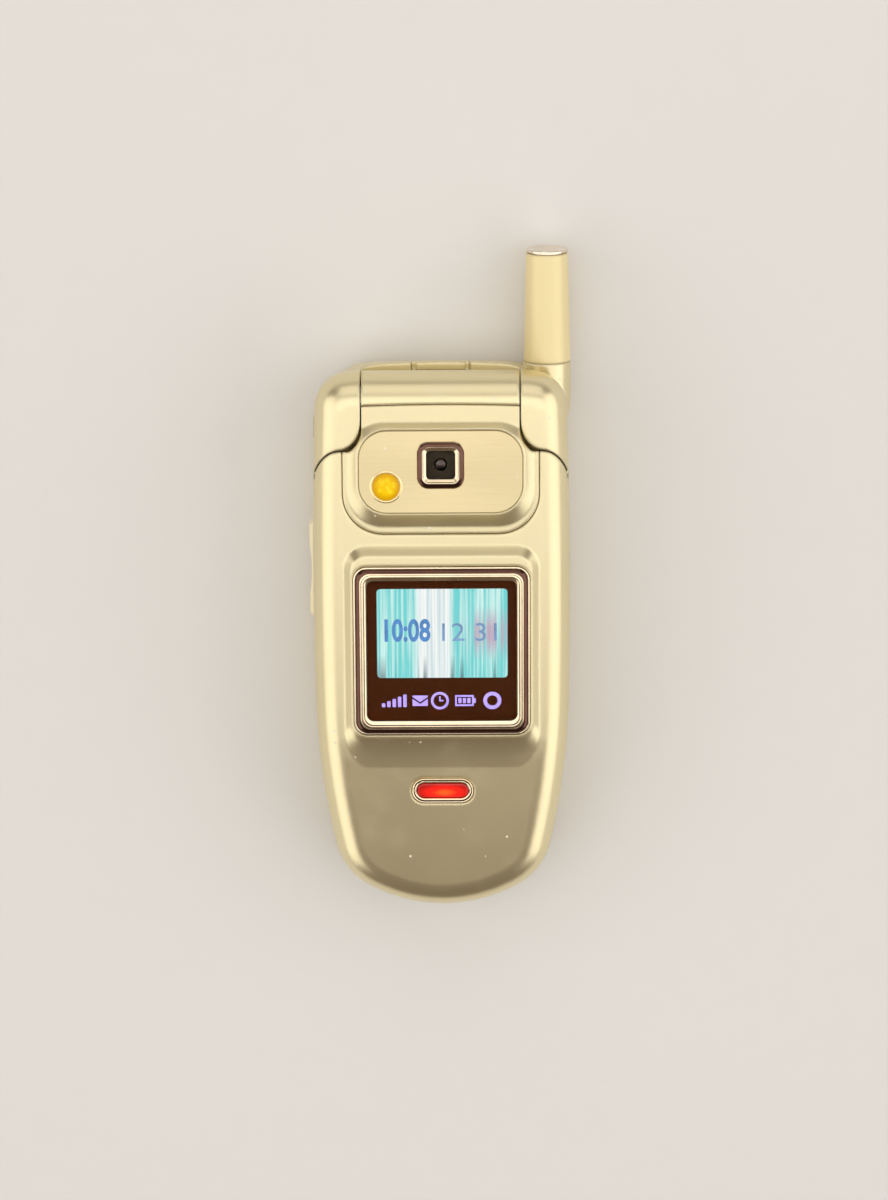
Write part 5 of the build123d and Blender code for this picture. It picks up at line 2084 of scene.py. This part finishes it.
@dataclass
class Studio:
    """Pale floor, soft lamps and the camera, in metres."""

    camera_place: tuple[float, float, float] = (0.00654, 0.18844, 0.7688)
    sight: tuple[float, float, float] = (-0.00794, -0.23307, -0.97243)
    image_right: tuple[float, float, float] = (0.99996, -0.0063, -0.00665)
    focal_length: float = 130.6
    sensor_width: float = 36.0
    lamps: tuple[SoftLamp, ...] = (
        SoftLamp("overhead", (0.0, 0.09, 1.1), (1.7, 0.86), 1.06, (1.0, 0.99, 0.96)),
        SoftLamp("rear", (0.0, 1.0, 0.75), (1.6, 0.9), 0.75, (1.0, 0.98, 0.94)),
        SoftLamp("right", (1.0, -0.1, 0.55), (1.9, 1.0), 1.08, (1.0, 0.99, 0.96)),
        SoftLamp("left", (-1.0, -0.2, 0.55), (1.9, 1.0), 1.03, (1.0, 0.98, 0.94)),
    )
    lamp_target: tuple[float, float, float] = (0.0, 0.0, 0.01)
    room_colour: Colour = (1.0, 0.72, 0.53)
    room_strength: float = 0.14
    floor_reach: float = 4.0
    curve_start: float = 0.9
    curve_end: float = 1.5
    curve_steps: int = 10
    curve_rise: float = 0.8
    floor_drop: float = 0.00005
    floor_weld: float = 1e-6

    def floor(self, material: Material) -> None:
        """A pale sheet, flat under the phone and curving up far behind it.

        Args:
            material: Its finish.
        """
        shape = bmesh.new()
        run = (self.curve_end - self.curve_start) / self.curve_steps
        lines = [-self.floor_reach]
        lines += [self.curve_start + run * step for step in range(self.curve_steps + 1)]
        rings = []
        for y in lines:
            rise = max(0.0, y - self.curve_start) ** 2 * self.curve_rise - self.floor_drop
            rings.append([Vector((x, y, rise)) for x in (-self.floor_reach, self.floor_reach)])
        for near, far in zip(rings, rings[1:]):
            corners = (near[0], near[1], far[1], far[0])
            shape.faces.new([shape.verts.new(corner) for corner in corners])
        bmesh.ops.remove_doubles(shape, verts=shape.verts, dist=self.floor_weld)
        made = mesh_object("studio_floor", shape, [material])

    def light(self) -> None:
        """Hang every lamp, in a warm dim room."""
        for lamp in self.lamps:
            lamp.build(Vector(self.lamp_target))
        world = bpy.data.worlds.new("soft_room")
        world.use_nodes = True
        background = world.node_tree.nodes["Background"]
        background.inputs["Color"].default_value = rgba(self.room_colour)
        background.inputs["Strength"].default_value = self.room_strength
        bpy.context.scene.world = world

    def camera(self) -> None:
        """The camera, on its long side across the picture's height."""
        data = bpy.data.cameras.new("camera")
        data.lens = self.focal_length
        data.sensor_width = self.sensor_width
        made = placed("camera", data)
        back = -Vector(self.sight).normalized()
        image_right = Vector(self.image_right)
        right = (image_right - back * image_right.dot(back)).normalized()
        up = back.cross(right)
        turn = Matrix((right, up, back)).transposed().to_4x4()
        made.matrix_world = Matrix.Translation(self.camera_place) @ turn
        bpy.context.scene.camera = made


def main() -> None:
    """Load the frame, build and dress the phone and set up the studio."""
    logging.basicConfig(level=logging.INFO, format="%(name)s: %(message)s")
    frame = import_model()
    finishes = Finishes()
    assemblies = (
        OuterDisplay(),
        CameraPod(),
        Indicator(),
        InnerDisplay(),
        Keypad(),
        Lid(),
        Base(),
        Antenna(),
    )
    for assembly in assemblies:
        assembly.build(finishes, frame["nodes"])
        log.info("built %s", type(assembly).__name__)
    paper = Moulded("studio_paper", srgb(228, 227, 225), 0.95, 900.0, 0.03, wear=0.0, drift=0.015)
    studio = Studio()
    studio.floor(paper.build())
    studio.light()
    studio.camera()
    bpy.context.scene.view_settings.view_transform = "Standard"


if __name__ == "__main__":
    main()
